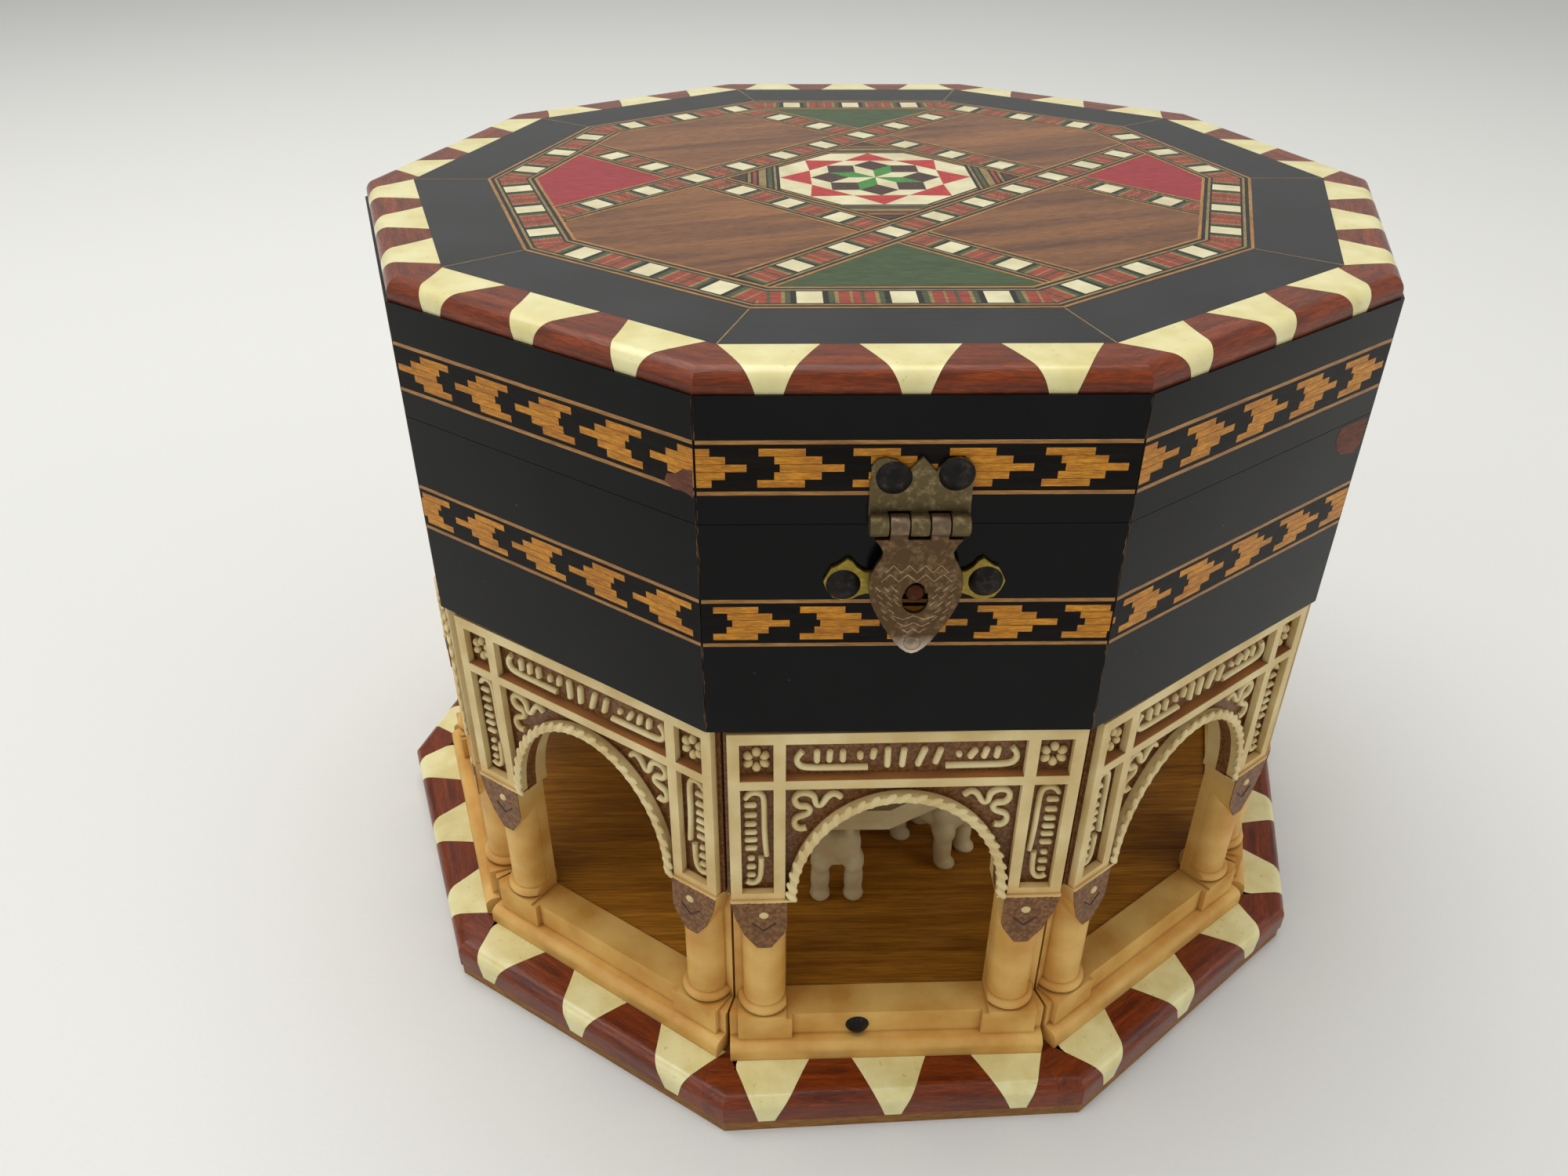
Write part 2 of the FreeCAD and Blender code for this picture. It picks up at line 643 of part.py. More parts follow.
catch_z = za - catch_below_axis
plate = box(clasp_x - catch_half_w + 3, clasp_x + catch_half_w - 3, wall_apothem, wall_apothem + plate_t,
            catch_z - catch_h / 2, catch_z + catch_h / 2)
extra = []
for sign in (-1, 1):
    cx = clasp_x + sign * (catch_half_w - 3.4)
    extra.append(rod_n(catch_lobe_r, cx, catch_z, wall_apothem, wall_apothem + plate_t))
    extra.append(profile([(cx, catch_z - 1.5), (cx + sign * 3.4, catch_z), (cx, catch_z + 1.5)][::sign],
                         wall_apothem, wall_apothem + plate_t))
stud_z = za - stud_below_axis
extra.append(rod_n(stud_r, clasp_x, stud_z, wall_apothem, wall_apothem + plate_t + stud_h))
plate = plate.multiFuse(extra).cut(Part.makeCompound(body_holes_front))
save("catch_plate", plate.removeSplitter())
stud_nails = [nail(*catch_point(x, d), wall_apothem + plate_t, nail_head_r, nail_head_h) for x, d in catch_nails]

# ---------------------------------------------------------------- rear hinges
body_leaves = []
lid_leaves = []
pins = []
body_pins = []
lid_pins = []
third = hinge_w / 3
for hx in (-hinge_x, hinge_x):
    x0 = hx - hinge_w / 2
    n0 = wall_apothem
    n1 = wall_apothem + hinge_leaf_t
    ya = -hinge_axis_y
    hz = hinge_axis_z
    gap = knuckle_gap / 2
    outer = [rod_x(hinge_knuckle_r, x0, x0 + third - gap, ya, hz),
             rod_x(hinge_knuckle_r, x0 + 2 * third + gap, x0 + hinge_w, ya, hz)]
    middle = [rod_x(hinge_knuckle_r, x0 + third + gap, x0 + 2 * third - gap, ya, hz)]
    room_mid = rod_x(hinge_knuckle_r + knuckle_gap, x0 + third - gap, x0 + 2 * third + gap, ya, hz)
    room_out = Part.makeCompound([rod_x(hinge_knuckle_r + knuckle_gap, x0 - 1, x0 + third + gap, ya, hz),
                                  rod_x(hinge_knuckle_r + knuckle_gap, x0 + 2 * third - gap, x0 + hinge_w + 1, ya, hz)])
    hole = rod_x(hinge_pin_r + pin_fit, x0 - 1, x0 + hinge_w + 1, ya, hz)
    low = box(x0, x0 + hinge_w, n0, n1, hz - hinge_leaf_h, hz - 0.7)
    high = box(x0, x0 + hinge_w, n0, n1, hz + 0.7, hz + hinge_leaf_h)
    low = low.cut(room_mid).multiFuse(outer).cut(hole)
    high = high.cut(room_out).multiFuse(middle).cut(hole)
    for dx in hinge_nail_pos:
        low = low.cut(nail_hole(hx + dx, hz - hinge_nail_up, n1))
        high = high.cut(nail_hole(hx + dx, hz + hinge_nail_up, n1))
        body_pins.append(rear(nail(hx + dx, hz - hinge_nail_up, n1, hinge_nail_r, hinge_nail_h)))
        lid_pins.append(rear(nail(hx + dx, hz + hinge_nail_up, n1, hinge_nail_r, hinge_nail_h)))
    body_leaves.append(rear(low.removeSplitter()))
    lid_leaves.append(rear(high.removeSplitter()))
    pins.append(rear(rod_x(hinge_pin_r, x0, x0 + hinge_w, ya, hz)))
save("hinge_leaves_body", Part.makeCompound(body_leaves))
save("hinge_leaves_lid", Part.makeCompound(lid_leaves))
save("hinge_pins", Part.makeCompound(pins))
save("box_nails", Part.makeCompound(sill_nails + stud_nails + body_pins))
save("lid_nails", Part.makeCompound(hasp_nails + lid_pins))
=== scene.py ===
"""Ten-sided inlaid box on a moulded arcade: looks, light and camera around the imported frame."""

from __future__ import annotations

import logging
import math
import random
from dataclasses import dataclass, field
from enum import Enum
from typing import Callable, Iterable, Sequence

import bmesh
import bpy
from mathutils import Euler, Matrix, Vector

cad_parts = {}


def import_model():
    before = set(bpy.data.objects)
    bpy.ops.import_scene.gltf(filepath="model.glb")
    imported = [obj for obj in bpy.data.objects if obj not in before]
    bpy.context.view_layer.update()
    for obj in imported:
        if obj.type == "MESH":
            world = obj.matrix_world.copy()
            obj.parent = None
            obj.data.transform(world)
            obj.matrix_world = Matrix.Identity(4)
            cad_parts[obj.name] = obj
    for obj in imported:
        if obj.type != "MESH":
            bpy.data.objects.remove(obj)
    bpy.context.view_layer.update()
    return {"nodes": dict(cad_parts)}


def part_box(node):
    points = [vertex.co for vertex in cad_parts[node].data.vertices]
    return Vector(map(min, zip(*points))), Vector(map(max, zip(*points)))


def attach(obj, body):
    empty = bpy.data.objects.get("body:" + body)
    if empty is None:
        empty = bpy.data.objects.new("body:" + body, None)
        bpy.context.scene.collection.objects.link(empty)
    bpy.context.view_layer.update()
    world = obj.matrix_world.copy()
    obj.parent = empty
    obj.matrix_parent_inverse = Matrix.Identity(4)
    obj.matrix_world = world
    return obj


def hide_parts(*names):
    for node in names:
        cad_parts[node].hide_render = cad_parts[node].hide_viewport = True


LOG = logging.getLogger("inlaid_box")
MM = 0.001
SIDES = 10
HALF_SIDE = math.pi / SIDES
ARCADE_TURN_DEG = 1.0
SLANT_DEG = -18.0
INLAY_PROUD_MM = 0.03
TILE_DEPTH_MM = 0.06

Point = tuple[float, float]


# ------------------------------------------------------------------ shared helpers
def linear(hex_code: str) -> tuple[float, float, float, float]:
    """Turn an sRGB hex colour into linear RGBA.

    Args:
        hex_code: six hex digits.

    Returns:
        Linear red, green and blue, with alpha 1.
    """
    channels = []
    for start in (0, 2, 4):
        value = int(hex_code[start:start + 2], 16) / 255
        channels.append(value / 12.92 if value <= 0.04045 else ((value + 0.055) / 1.055) ** 2.4)
    return channels[0], channels[1], channels[2], 1.0


def add_node(tree: bpy.types.NodeTree, kind: str, inputs: dict | None = None,
             **settings: object) -> bpy.types.Node:
    """Add one shader node with its settings, values and links.

    Args:
        tree: the material's node tree.
        kind: the node's type name.
        inputs: socket name or index to a value, or to the socket that feeds it.
        **settings: node attributes.

    Returns:
        The new node.
    """
    node = tree.nodes.new(kind)
    for key, value in settings.items():
        setattr(node, key, value)
    for key, value in (inputs or {}).items():
        if isinstance(value, bpy.types.NodeSocket):
            tree.links.new(value, node.inputs[key])
        else:
            node.inputs[key].default_value = value
    return node


def math_node(tree: bpy.types.NodeTree, operation: str, *values: object) -> bpy.types.NodeSocket:
    """Add a Math node and give back its result.

    Args:
        tree: the material's node tree.
        operation: the Math operation.
        *values: numbers or sockets, in order.

    Returns:
        The result's socket.
    """
    return add_node(tree, "ShaderNodeMath", dict(enumerate(values)), operation=operation).outputs[0]


def mix_colour(tree: bpy.types.NodeTree, factor: object, first: object, second: object,
               blend: str = "MIX") -> bpy.types.NodeSocket:
    """Mix two colours.

    Args:
        tree: the material's node tree.
        factor: number or socket.
        first: colour or socket at factor 0.
        second: colour or socket at factor 1.
        blend: blend mode.

    Returns:
        The mixed colour's socket.
    """
    node = add_node(tree, "ShaderNodeMix", {0: factor, 6: first, 7: second}, data_type="RGBA",
                    blend_type=blend)
    return node.outputs[2]


def ramp(tree: bpy.types.NodeTree, factor: bpy.types.NodeSocket, low: float,
         high: float) -> bpy.types.NodeSocket:
    """Stretch the range low to high of a factor over 0 to 1, clamped.

    Args:
        tree: the material's node tree.
        factor: socket to stretch.
        low: value that becomes 0.
        high: value that becomes 1.

    Returns:
        The stretched factor's socket.
    """
    node = add_node(tree, "ShaderNodeMapRange", {0: factor, 1: low, 2: high, 3: 0.0, 4: 1.0}, clamp=True)
    return node.outputs[0]


def noise(tree: bpy.types.NodeTree, place: bpy.types.NodeSocket, scale: float, detail: float,
          roughness: float = 0.5, distortion: float = 0.0) -> bpy.types.NodeSocket:
    """Add cloudy noise and give back its factor.

    Args:
        tree: the material's node tree.
        place: vector socket it is read at.
        scale: how fine it is.
        detail: octaves.
        roughness: how strong the fine octaves are.
        distortion: how far it is swirled.

    Returns:
        The factor's socket.
    """
    inputs = {"Vector": place, "Scale": scale, "Detail": detail, "Roughness": roughness,
              "Distortion": distortion}
    return add_node(tree, "ShaderNodeTexNoise", inputs).outputs[0]


def side_frame(tree: bpy.types.NodeTree, turn_deg: float = 0.0) -> bpy.types.NodeSocket:
    """Object coordinates turned so that every side of the box reads as the front one.

    Args:
        tree: the material's node tree.
        turn_deg: how far this layer is turned about Z.

    Returns:
        A vector socket: x along the side, -y outwards, z up.
    """
    place = add_node(tree, "ShaderNodeTexCoord").outputs["Object"]
    parts = add_node(tree, "ShaderNodeSeparateXYZ", {0: place})
    minus_y = math_node(tree, "MULTIPLY", parts.outputs["Y"], -1.0)
    angle = math_node(tree, "ARCTAN2", parts.outputs["X"], minus_y)
    angle = math_node(tree, "SUBTRACT", angle, math.radians(turn_deg))
    step = math_node(tree, "ROUND", math_node(tree, "DIVIDE", angle, 2 * HALF_SIDE))
    back = math_node(tree, "MULTIPLY", step, -2 * HALF_SIDE)
    back = math_node(tree, "SUBTRACT", back, math.radians(turn_deg))
    turned = add_node(tree, "ShaderNodeVectorRotate", {"Vector": place, "Angle": back},
                      rotation_type="Z_AXIS")
    return turned.outputs[0]


class GrainRun(Enum):
    """Which way the fibres of a piece run."""

    ALONG_SIDE = "side"
    ALONG_X = "x"
    SLANTED = "slanted"


def start_material(name: str) -> tuple[bpy.types.Material, bpy.types.NodeTree, bpy.types.Node]:
    """Make an empty material with a shader.

    Args:
        name: the material's name.

    Returns:
        The material, its tree and its Principled shader.
    """
    material = bpy.data.materials.new(name)
    material.use_nodes = True
    tree = material.node_tree
    tree.nodes.clear()
    shader = add_node(tree, "ShaderNodeBsdfPrincipled")
    add_node(tree, "ShaderNodeOutputMaterial", {0: shader.outputs[0]})
    return material, tree, shader


# ------------------------------------------------------------------ finishes
@dataclass(frozen=True)
class Timber:
    """Sawn, sanded and polished wood: broad figure, fine pores and a thin coat."""

    name: str
    light: str
    dark: str
    run: GrainRun = GrainRun.ALONG_SIDE
    figure_mm: float = 3.0
    pore_mm: float = 0.35
    stretch: float = 9.0
    roughness: float = 0.38
    coat: float = 0.25
    specular: float = 0.3
    pore_depth: float = 0.25
    contrast: float = 1.0

    def build(self) -> bpy.types.Material:
        """Build the material."""
        material, tree, shader = start_material(self.name)
        if self.run is GrainRun.ALONG_SIDE:
            place = side_frame(tree)
        else:
            place = add_node(tree, "ShaderNodeTexCoord").outputs["Object"]
        lean = math.radians(SLANT_DEG if self.run is GrainRun.SLANTED else 0.0)
        turned = add_node(tree, "ShaderNodeMapping", {"Vector": place, "Rotation": (0.0, 0.0, lean)})
        squeezed = add_node(tree, "ShaderNodeMapping", {"Vector": turned.outputs[0],
                                                        "Scale": (1000 / self.stretch, 1000.0, 1000.0)})
        fibres = squeezed.outputs[0]
        figure = noise(tree, fibres, 1 / self.figure_mm, 5.0, 0.6, 0.6)
        pores = noise(tree, fibres, 1 / self.pore_mm, 3.0, 0.6)
        spread = 0.22 / self.contrast
        tone = ramp(tree, figure, 0.5 - spread, 0.5 + spread)
        colour = mix_colour(tree, tone, linear(self.dark), linear(self.light))
        fleck = ramp(tree, pores, 0.58, 0.42)
        strength = math_node(tree, "MULTIPLY_ADD", fleck, 0.35, 0.65)
        colour = mix_colour(tree, 1.0, colour, strength, "MULTIPLY")
        tree.links.new(colour, shader.inputs["Base Color"])
        rough = math_node(tree, "MULTIPLY_ADD", pores, 0.25, self.roughness - 0.12)
        tree.links.new(rough, shader.inputs["Roughness"])
        bump = add_node(tree, "ShaderNodeBump",
                        {"Height": pores, "Strength": self.pore_depth, "Distance": 0.0001})
        tree.links.new(bump.outputs[0], shader.inputs["Normal"])
        shader.inputs["Coat Weight"].default_value = self.coat
        shader.inputs["Coat Roughness"].default_value = 0.12
        shader.inputs["Specular IOR Level"].default_value = self.specular
        return material


@dataclass(frozen=True)
class Lacquer:
    """Black lacquer brushed over veneer: deep gloss, a little dust, slow waves and scuffed corner seams."""

    name: str
    colour: str
    dust: str
    roughness: float = 0.2
    coat: float = 0.2
    specular: float = 0.3
    fibres: float = 0.2
    haze: float = 0.05
    seam_mm: float = 0.0

    def build(self) -> bpy.types.Material:
        """Build the material."""
        material, tree, shader = start_material(self.name)
        place = side_frame(tree)
        brushed = add_node(tree, "ShaderNodeMapping",
                           {"Vector": place, "Scale": (60.0, 1000.0, 1000.0)}).outputs[0]
        marks = noise(tree, brushed, 0.5, 4.0)
        film = noise(tree, place, 60.0, 4.0)
        specks = add_node(tree, "ShaderNodeTexVoronoi", {"Vector": place, "Scale": 170.0, "Randomness": 1.0})
        dot = ramp(tree, specks.outputs["Distance"], 0.045, 0.02)
        chosen = add_node(tree, "ShaderNodeSeparateColor", {0: specks.outputs["Color"]}).outputs[0]
        dot = math_node(tree, "MULTIPLY", dot, math_node(tree, "GREATER_THAN", chosen, 0.75))
        haze = math_node(tree, "MULTIPLY", ramp(tree, film, 0.45, 0.75), self.haze)
        amount = math_node(tree, "MAXIMUM", math_node(tree, "MULTIPLY", dot, 0.45), haze)
        colour = mix_colour(tree, amount, linear(self.colour), linear(self.dust))
        if self.seam_mm:
            colour = mix_colour(tree, self._seam(tree, place), colour, linear("6A4B2A"))
        tree.links.new(colour, shader.inputs["Base Color"])
        rough = math_node(tree, "MULTIPLY_ADD", film, 0.2, self.roughness - 0.1)
        tree.links.new(rough, shader.inputs["Roughness"])
        fine = add_node(tree, "ShaderNodeBump",
                        {"Height": marks, "Strength": self.fibres, "Distance": 0.0001})
        slow = noise(tree, place, 22.0, 1.0)
        waves = add_node(tree, "ShaderNodeBump", {"Height": slow, "Strength": 0.3, "Distance": 0.0012,
                                                  "Normal": fine.outputs[0]})
        tree.links.new(waves.outputs[0], shader.inputs["Normal"])
        shader.inputs["Specular IOR Level"].default_value = self.specular
        shader.inputs["Coat Weight"].default_value = self.coat
        shader.inputs["Coat Roughness"].default_value = 0.08
        return material

    def _seam(self, tree: bpy.types.NodeTree, place: bpy.types.NodeSocket) -> bpy.types.NodeSocket:
        """Broken lines of bare veneer along the mitred corners."""
        parts = add_node(tree, "ShaderNodeSeparateXYZ", {0: place})
        reach = math_node(tree, "MULTIPLY", parts.outputs["Y"], -1000 * math.tan(HALF_SIDE))
        along = math_node(tree, "ABSOLUTE", math_node(tree, "MULTIPLY", parts.outputs["X"], 1000.0))
        gap = math_node(tree, "SUBTRACT", reach, along)
        ragged = noise(tree, place, 520.0, 4.0)
        limit = math_node(tree, "MULTIPLY_ADD", ragged, self.seam_mm * 2.6, -self.seam_mm * 0.9)
        near = math_node(tree, "LESS_THAN", gap, limit)
        patches = noise(tree, place, 60.0, 2.0)
        return math_node(tree, "MULTIPLY", near, ramp(tree, patches, 0.4, 0.55))


@dataclass(frozen=True)
class Bone:
    """Polished ivory-coloured bone or resin: creamy, cloudy, with a warm edge."""

    name: str
    light: str
    dark: str
    roughness: float = 0.28

    def build(self) -> bpy.types.Material:
        """Build the material."""
        material, tree, shader = start_material(self.name)
        place = add_node(tree, "ShaderNodeTexCoord").outputs["Object"]
        cloud = noise(tree, place, 160.0, 4.0)
        stain = noise(tree, place, 900.0, 2.0)
        tone = ramp(tree, cloud, 0.35, 0.68)
        colour = mix_colour(tree, tone, linear(self.light), linear(self.dark))
        speck = math_node(tree, "MULTIPLY", ramp(tree, stain, 0.66, 0.76), 0.35)
        colour = mix_colour(tree, speck, colour, linear("9C8450"))
        tree.links.new(colour, shader.inputs["Base Color"])
        shader.inputs["Roughness"].default_value = self.roughness
        shader.inputs["Coat Weight"].default_value = 0.35
        shader.inputs["Coat Roughness"].default_value = 0.1
        shader.inputs["Subsurface Weight"].default_value = 0.08
        shader.inputs["Subsurface Radius"].default_value = (0.002, 0.0015, 0.001)
        return material


@dataclass(frozen=True)
class MouldedResin:
    """Cast resin, golden below and creamier above; brown paint lies in the sunk cells and on the capitals."""

    name: str
    ridge: str
    shade: str
    sunk: str = ""
    low_ridge: str = ""
    low_shade: str = ""
    recess_face_mm: float = 98.6
    rail_z_mm: float = 53.0
    capital_low_z_mm: float = 39.5
    column_face_mm: float = 100.2

    def build(self) -> bpy.types.Material:
        """Build the material."""
        material, tree, shader = start_material(self.name)
        place = side_frame(tree, ARCADE_TURN_DEG)
        cloud = noise(tree, place, 90.0, 5.0)
        grit = noise(tree, place, 1400.0, 3.0)
        cloudy = ramp(tree, cloud, 0.36, 0.66)
        colour = mix_colour(tree, cloudy, linear(self.ridge), linear(self.shade))
        if self.low_ridge:
            low = mix_colour(tree, cloudy, linear(self.low_ridge), linear(self.low_shade))
            height = add_node(tree, "ShaderNodeSeparateXYZ", {0: place}).outputs["Z"]
            upper = ramp(tree, height, (self.rail_z_mm - 6) * MM, (self.rail_z_mm + 6) * MM)
            colour = mix_colour(tree, upper, low, colour)
        # painted shade: crevices found by ambient occlusion are darkened towards brown, partly standing for
        # grime and partly for the shade that lies in them
        crevice = add_node(tree, "ShaderNodeAmbientOcclusion", {"Distance": 0.0012}, samples=6).outputs["AO"]
        crevice_shade_and_grime = math_node(tree, "MULTIPLY", ramp(tree, crevice, 0.75, 0.35), 0.6)
        colour = mix_colour(tree, crevice_shade_and_grime, colour, linear("8A6233"))
        if self.sunk:
            colour = mix_colour(tree, self._paint_mask(tree, place, grit), colour, self._paint(tree, grit))
        tree.links.new(colour, shader.inputs["Base Color"])
        shader.inputs["Roughness"].default_value = 0.42
        shader.inputs["Specular IOR Level"].default_value = 0.3
        bump = add_node(tree, "ShaderNodeBump", {"Height": grit, "Strength": 0.15, "Distance": 0.0002})
        tree.links.new(bump.outputs[0], shader.inputs["Normal"])
        shader.inputs["Subsurface Weight"].default_value = 0.06
        shader.inputs["Subsurface Radius"].default_value = (0.002, 0.0013, 0.0008)
        return material

    def _paint(self, tree: bpy.types.NodeTree, grit: bpy.types.NodeSocket) -> bpy.types.NodeSocket:
        """Brown paint, brushed thinly."""
        return mix_colour(tree, ramp(tree, grit, 0.4, 0.65), linear(self.sunk), linear("8A6038"))

    def _paint_mask(self, tree: bpy.types.NodeTree, place: bpy.types.NodeSocket,
                    grit: bpy.types.NodeSocket) -> bpy.types.NodeSocket:
        """Where the brown paint lies: the sunk cells above the rail, and the capitals' faces."""
        parts = add_node(tree, "ShaderNodeSeparateXYZ", {0: place})
        out = math_node(tree, "MULTIPLY", parts.outputs["Y"], -1000.0)
        wavy = math_node(tree, "MULTIPLY_ADD", grit, 0.5, -0.25)
        height = math_node(tree, "MULTIPLY_ADD", parts.outputs["Z"], 1000.0, wavy)
        along = math_node(tree, "ABSOLUTE", math_node(tree, "MULTIPLY", parts.outputs["X"], 1000.0))
        deep = math_node(tree, "LESS_THAN", out, self.recess_face_mm)
        front = math_node(tree, "GREATER_THAN", out, 96.0)
        above = math_node(tree, "GREATER_THAN", height, self.rail_z_mm)
        cells = math_node(tree, "MULTIPLY", math_node(tree, "MULTIPLY", deep, front), above)
        low = math_node(tree, "GREATER_THAN", height, self.capital_low_z_mm)
        under = math_node(tree, "LESS_THAN", height, self.rail_z_mm - 0.4)
        face = math_node(tree, "GREATER_THAN", out, self.column_face_mm)
        width = math_node(tree, "GREATER_THAN", along, 18.0)
        caps = math_node(tree, "MULTIPLY", math_node(tree, "MULTIPLY", low, under),
                         math_node(tree, "MULTIPLY", face, width))
        return math_node(tree, "MAXIMUM", cells, caps)


@dataclass(frozen=True)
class AgedMetal:
    """Stamped brass or bronze sheet, unpolished: cloudy tarnish over a scuffed shine; a tab's tip may be
    paler, partly polished by handling and partly a painted highlight.
    """

    name: str
    bright: str
    tarnish: str
    roughness: float = 0.38
    metallic: float = 1.0
    cover: float = 0.5
    # paler colour for a tab's tip: partly polish from handling, partly a painted highlight on the tip's bulge
    tip_rub_and_highlight: str = ""
    tip_rub_and_highlight_z_mm: Point = (112.0, 116.0)

    def build(self) -> bpy.types.Material:
        """Build the material."""
        material, tree, shader = start_material(self.name)
        place = add_node(tree, "ShaderNodeTexCoord").outputs["Object"]
        cloud = noise(tree, place, 700.0, 8.0, 0.7)
        grit = noise(tree, place, 2600.0, 2.0)
        tone = ramp(tree, cloud, 0.5 - self.cover / 2, 0.75 - self.cover / 2)
        colour = mix_colour(tree, tone, linear(self.bright), linear(self.tarnish))
        rough = math_node(tree, "MULTIPLY_ADD", tone, 0.18, self.roughness)
        # painted highlight mixed with handling polish: paler and smoother towards the tab's lower tip
        if self.tip_rub_and_highlight:
            height = add_node(tree, "ShaderNodeSeparateXYZ", {0: place}).outputs["Z"]
            jitter = math_node(tree, "MULTIPLY_ADD", cloud, 0.0016, -0.0008)
            height = math_node(tree, "ADD", height, jitter)
            tip_rub_and_highlight_mask = ramp(tree, height, self.tip_rub_and_highlight_z_mm[1] * MM, self.tip_rub_and_highlight_z_mm[0] * MM)
            colour = mix_colour(tree, tip_rub_and_highlight_mask, colour, linear(self.tip_rub_and_highlight))
            rough = math_node(tree, "MULTIPLY_ADD", tip_rub_and_highlight_mask, -0.2, rough)
        tree.links.new(colour, shader.inputs["Base Color"])
        tree.links.new(rough, shader.inputs["Roughness"])
        shader.inputs["Metallic"].default_value = self.metallic
        bump = add_node(tree, "ShaderNodeBump", {"Height": grit, "Strength": 0.12, "Distance": 0.0001})
        tree.links.new(bump.outputs[0], shader.inputs["Normal"])
        return material


@dataclass
class Palette:
    """Every finish on the box, built once."""

    made: dict[str, bpy.types.Material] = field(default_factory=dict)

    def build(self) -> None:
        """Build all materials."""
        finishes = [
            Timber("polished_mahogany", "96400E", "521C06", figure_mm=1.6, pore_mm=0.24, roughness=0.3,
                   coat=0.14, pore_depth=0.6),
            Timber("streaked_walnut", "9C6430", "5A3216", GrainRun.SLANTED, figure_mm=7.0, pore_mm=0.3,
                   stretch=10, roughness=0.4, coat=0.2, contrast=1.2),
            Timber("green_dyed_veneer", "4A5F38", "34472A", GrainRun.ALONG_X, figure_mm=1.2, pore_mm=0.25,
                   stretch=14, roughness=0.45, coat=0.1),
            Timber("crimson_dyed_veneer", "AE2E38", "942630", GrainRun.ALONG_X, figure_mm=1.5, pore_mm=0.25,
                   stretch=14, roughness=0.45, coat=0.1),
            Timber("court_boards", "CC8A2C", "9C6016", GrainRun.ALONG_X, figure_mm=2.4, pore_mm=0.3,
                   stretch=26, roughness=0.4, coat=0.2, contrast=1.2),
            Timber("golden_board", "A87534", "7C5020", figure_mm=2.0, roughness=0.5, coat=0.0),
            Timber("bare_walnut", "80573A", "5A3A24", GrainRun.ALONG_X, figure_mm=4.0, roughness=0.55,
                   coat=0.0),
            Timber("boxwood_blocks", "E39A20", "B06A0E", figure_mm=1.1, pore_mm=0.2, stretch=7, roughness=0.4,
                   coat=0.05),
            Timber("boxwood_lines", "C08A42", "96642A", figure_mm=1.0, pore_mm=0.2, stretch=12, roughness=0.4,
                   coat=0.2),
            Timber("ebony_ground", "18110C", "070504", figure_mm=1.4, pore_mm=0.2, stretch=9,
                   roughness=0.36, coat=0.0, specular=0.1),
            Timber("straw_veneer", "A8925A", "80693A", figure_mm=1.0, pore_mm=0.2, roughness=0.45, coat=0.1),
            Timber("black_veneer", "24201C", "14110F", figure_mm=1.0, pore_mm=0.2, roughness=0.45, coat=0.1),
            Timber("moss_veneer", "5A6038", "3E4628", figure_mm=1.0, pore_mm=0.2, roughness=0.45, coat=0.1),
            Timber("brick_veneer", "B04A34", "8C3426", figure_mm=1.0, pore_mm=0.2, roughness=0.45, coat=0.1),
            Timber("leaf_green_veneer", "4C9A44", "3A8236", figure_mm=1.0, pore_mm=0.2, roughness=0.45,
                   coat=0.1),
            Timber("star_brown_veneer", "54382C", "38241C", figure_mm=1.0, pore_mm=0.2, roughness=0.45,
                   coat=0.1),
            Timber("star_red_veneer", "CC3A38", "B22E30", figure_mm=1.0, pore_mm=0.2, roughness=0.45,
                   coat=0.1),
            Lacquer("black_lacquer", "050506", "5C5C60", seam_mm=0.32, coat=0.04, specular=0.12, haze=0.02),
            Lacquer("lid_black", "1B1B1D", "4C4C50", roughness=0.4, coat=0.05, specular=0.4, fibres=0.5,
                    haze=0.2),
            Bone("ivory_inlay", "EEE6AE", "DDD08C"),
            Bone("ivory_tesserae", "E6DEB4", "CFC498", roughness=0.4),
            MouldedResin("painted_arcade", "E4D09A", "CDB074", sunk="66401E", low_ridge="E2B768",
                         low_shade="C99244"),
            MouldedResin("cream_relief", "E8D8A4", "D2BA80"),
            MouldedResin("copper_wash", "A8703E", "8C5A34"),
            MouldedResin("fountain_resin", "DCCBA0", "C0A878"),
            AgedMetal("olive_brass", "A6946A", "6C5E42", roughness=0.38, cover=0.5),
            # the pale tip colour is partly handling polish and partly a painted highlight
            AgedMetal("bronze_tab", "94795A", "604A34", roughness=0.36, cover=0.5, tip_rub_and_highlight="DCCAB8"),
            AgedMetal("coppery_knuckle", "A38F74", "786450", roughness=0.28),
            AgedMetal("yellow_brass", "CDB45C", "94803A", roughness=0.32),
            AgedMetal("scratched_bright", "C8B294", "96805E", roughness=0.3),
            AgedMetal("nail_bronze", "46403A", "24211F", roughness=0.36, metallic=0.85),
            AgedMetal("stud_copper", "7A4630", "4C2C1E", roughness=0.36),
            Timber("chipped_veneer", "7E4630", "56301F", figure_mm=1.4, pore_mm=0.2, roughness=0.6, coat=0.0),
        ]
        for finish in finishes:
            self.made[finish.name] = finish.build()
        LOG.info("%d finishes built", len(self.made))

    def __getitem__(self, name: str) -> bpy.types.Material:
        """A finish by name."""
        return self.made[name]


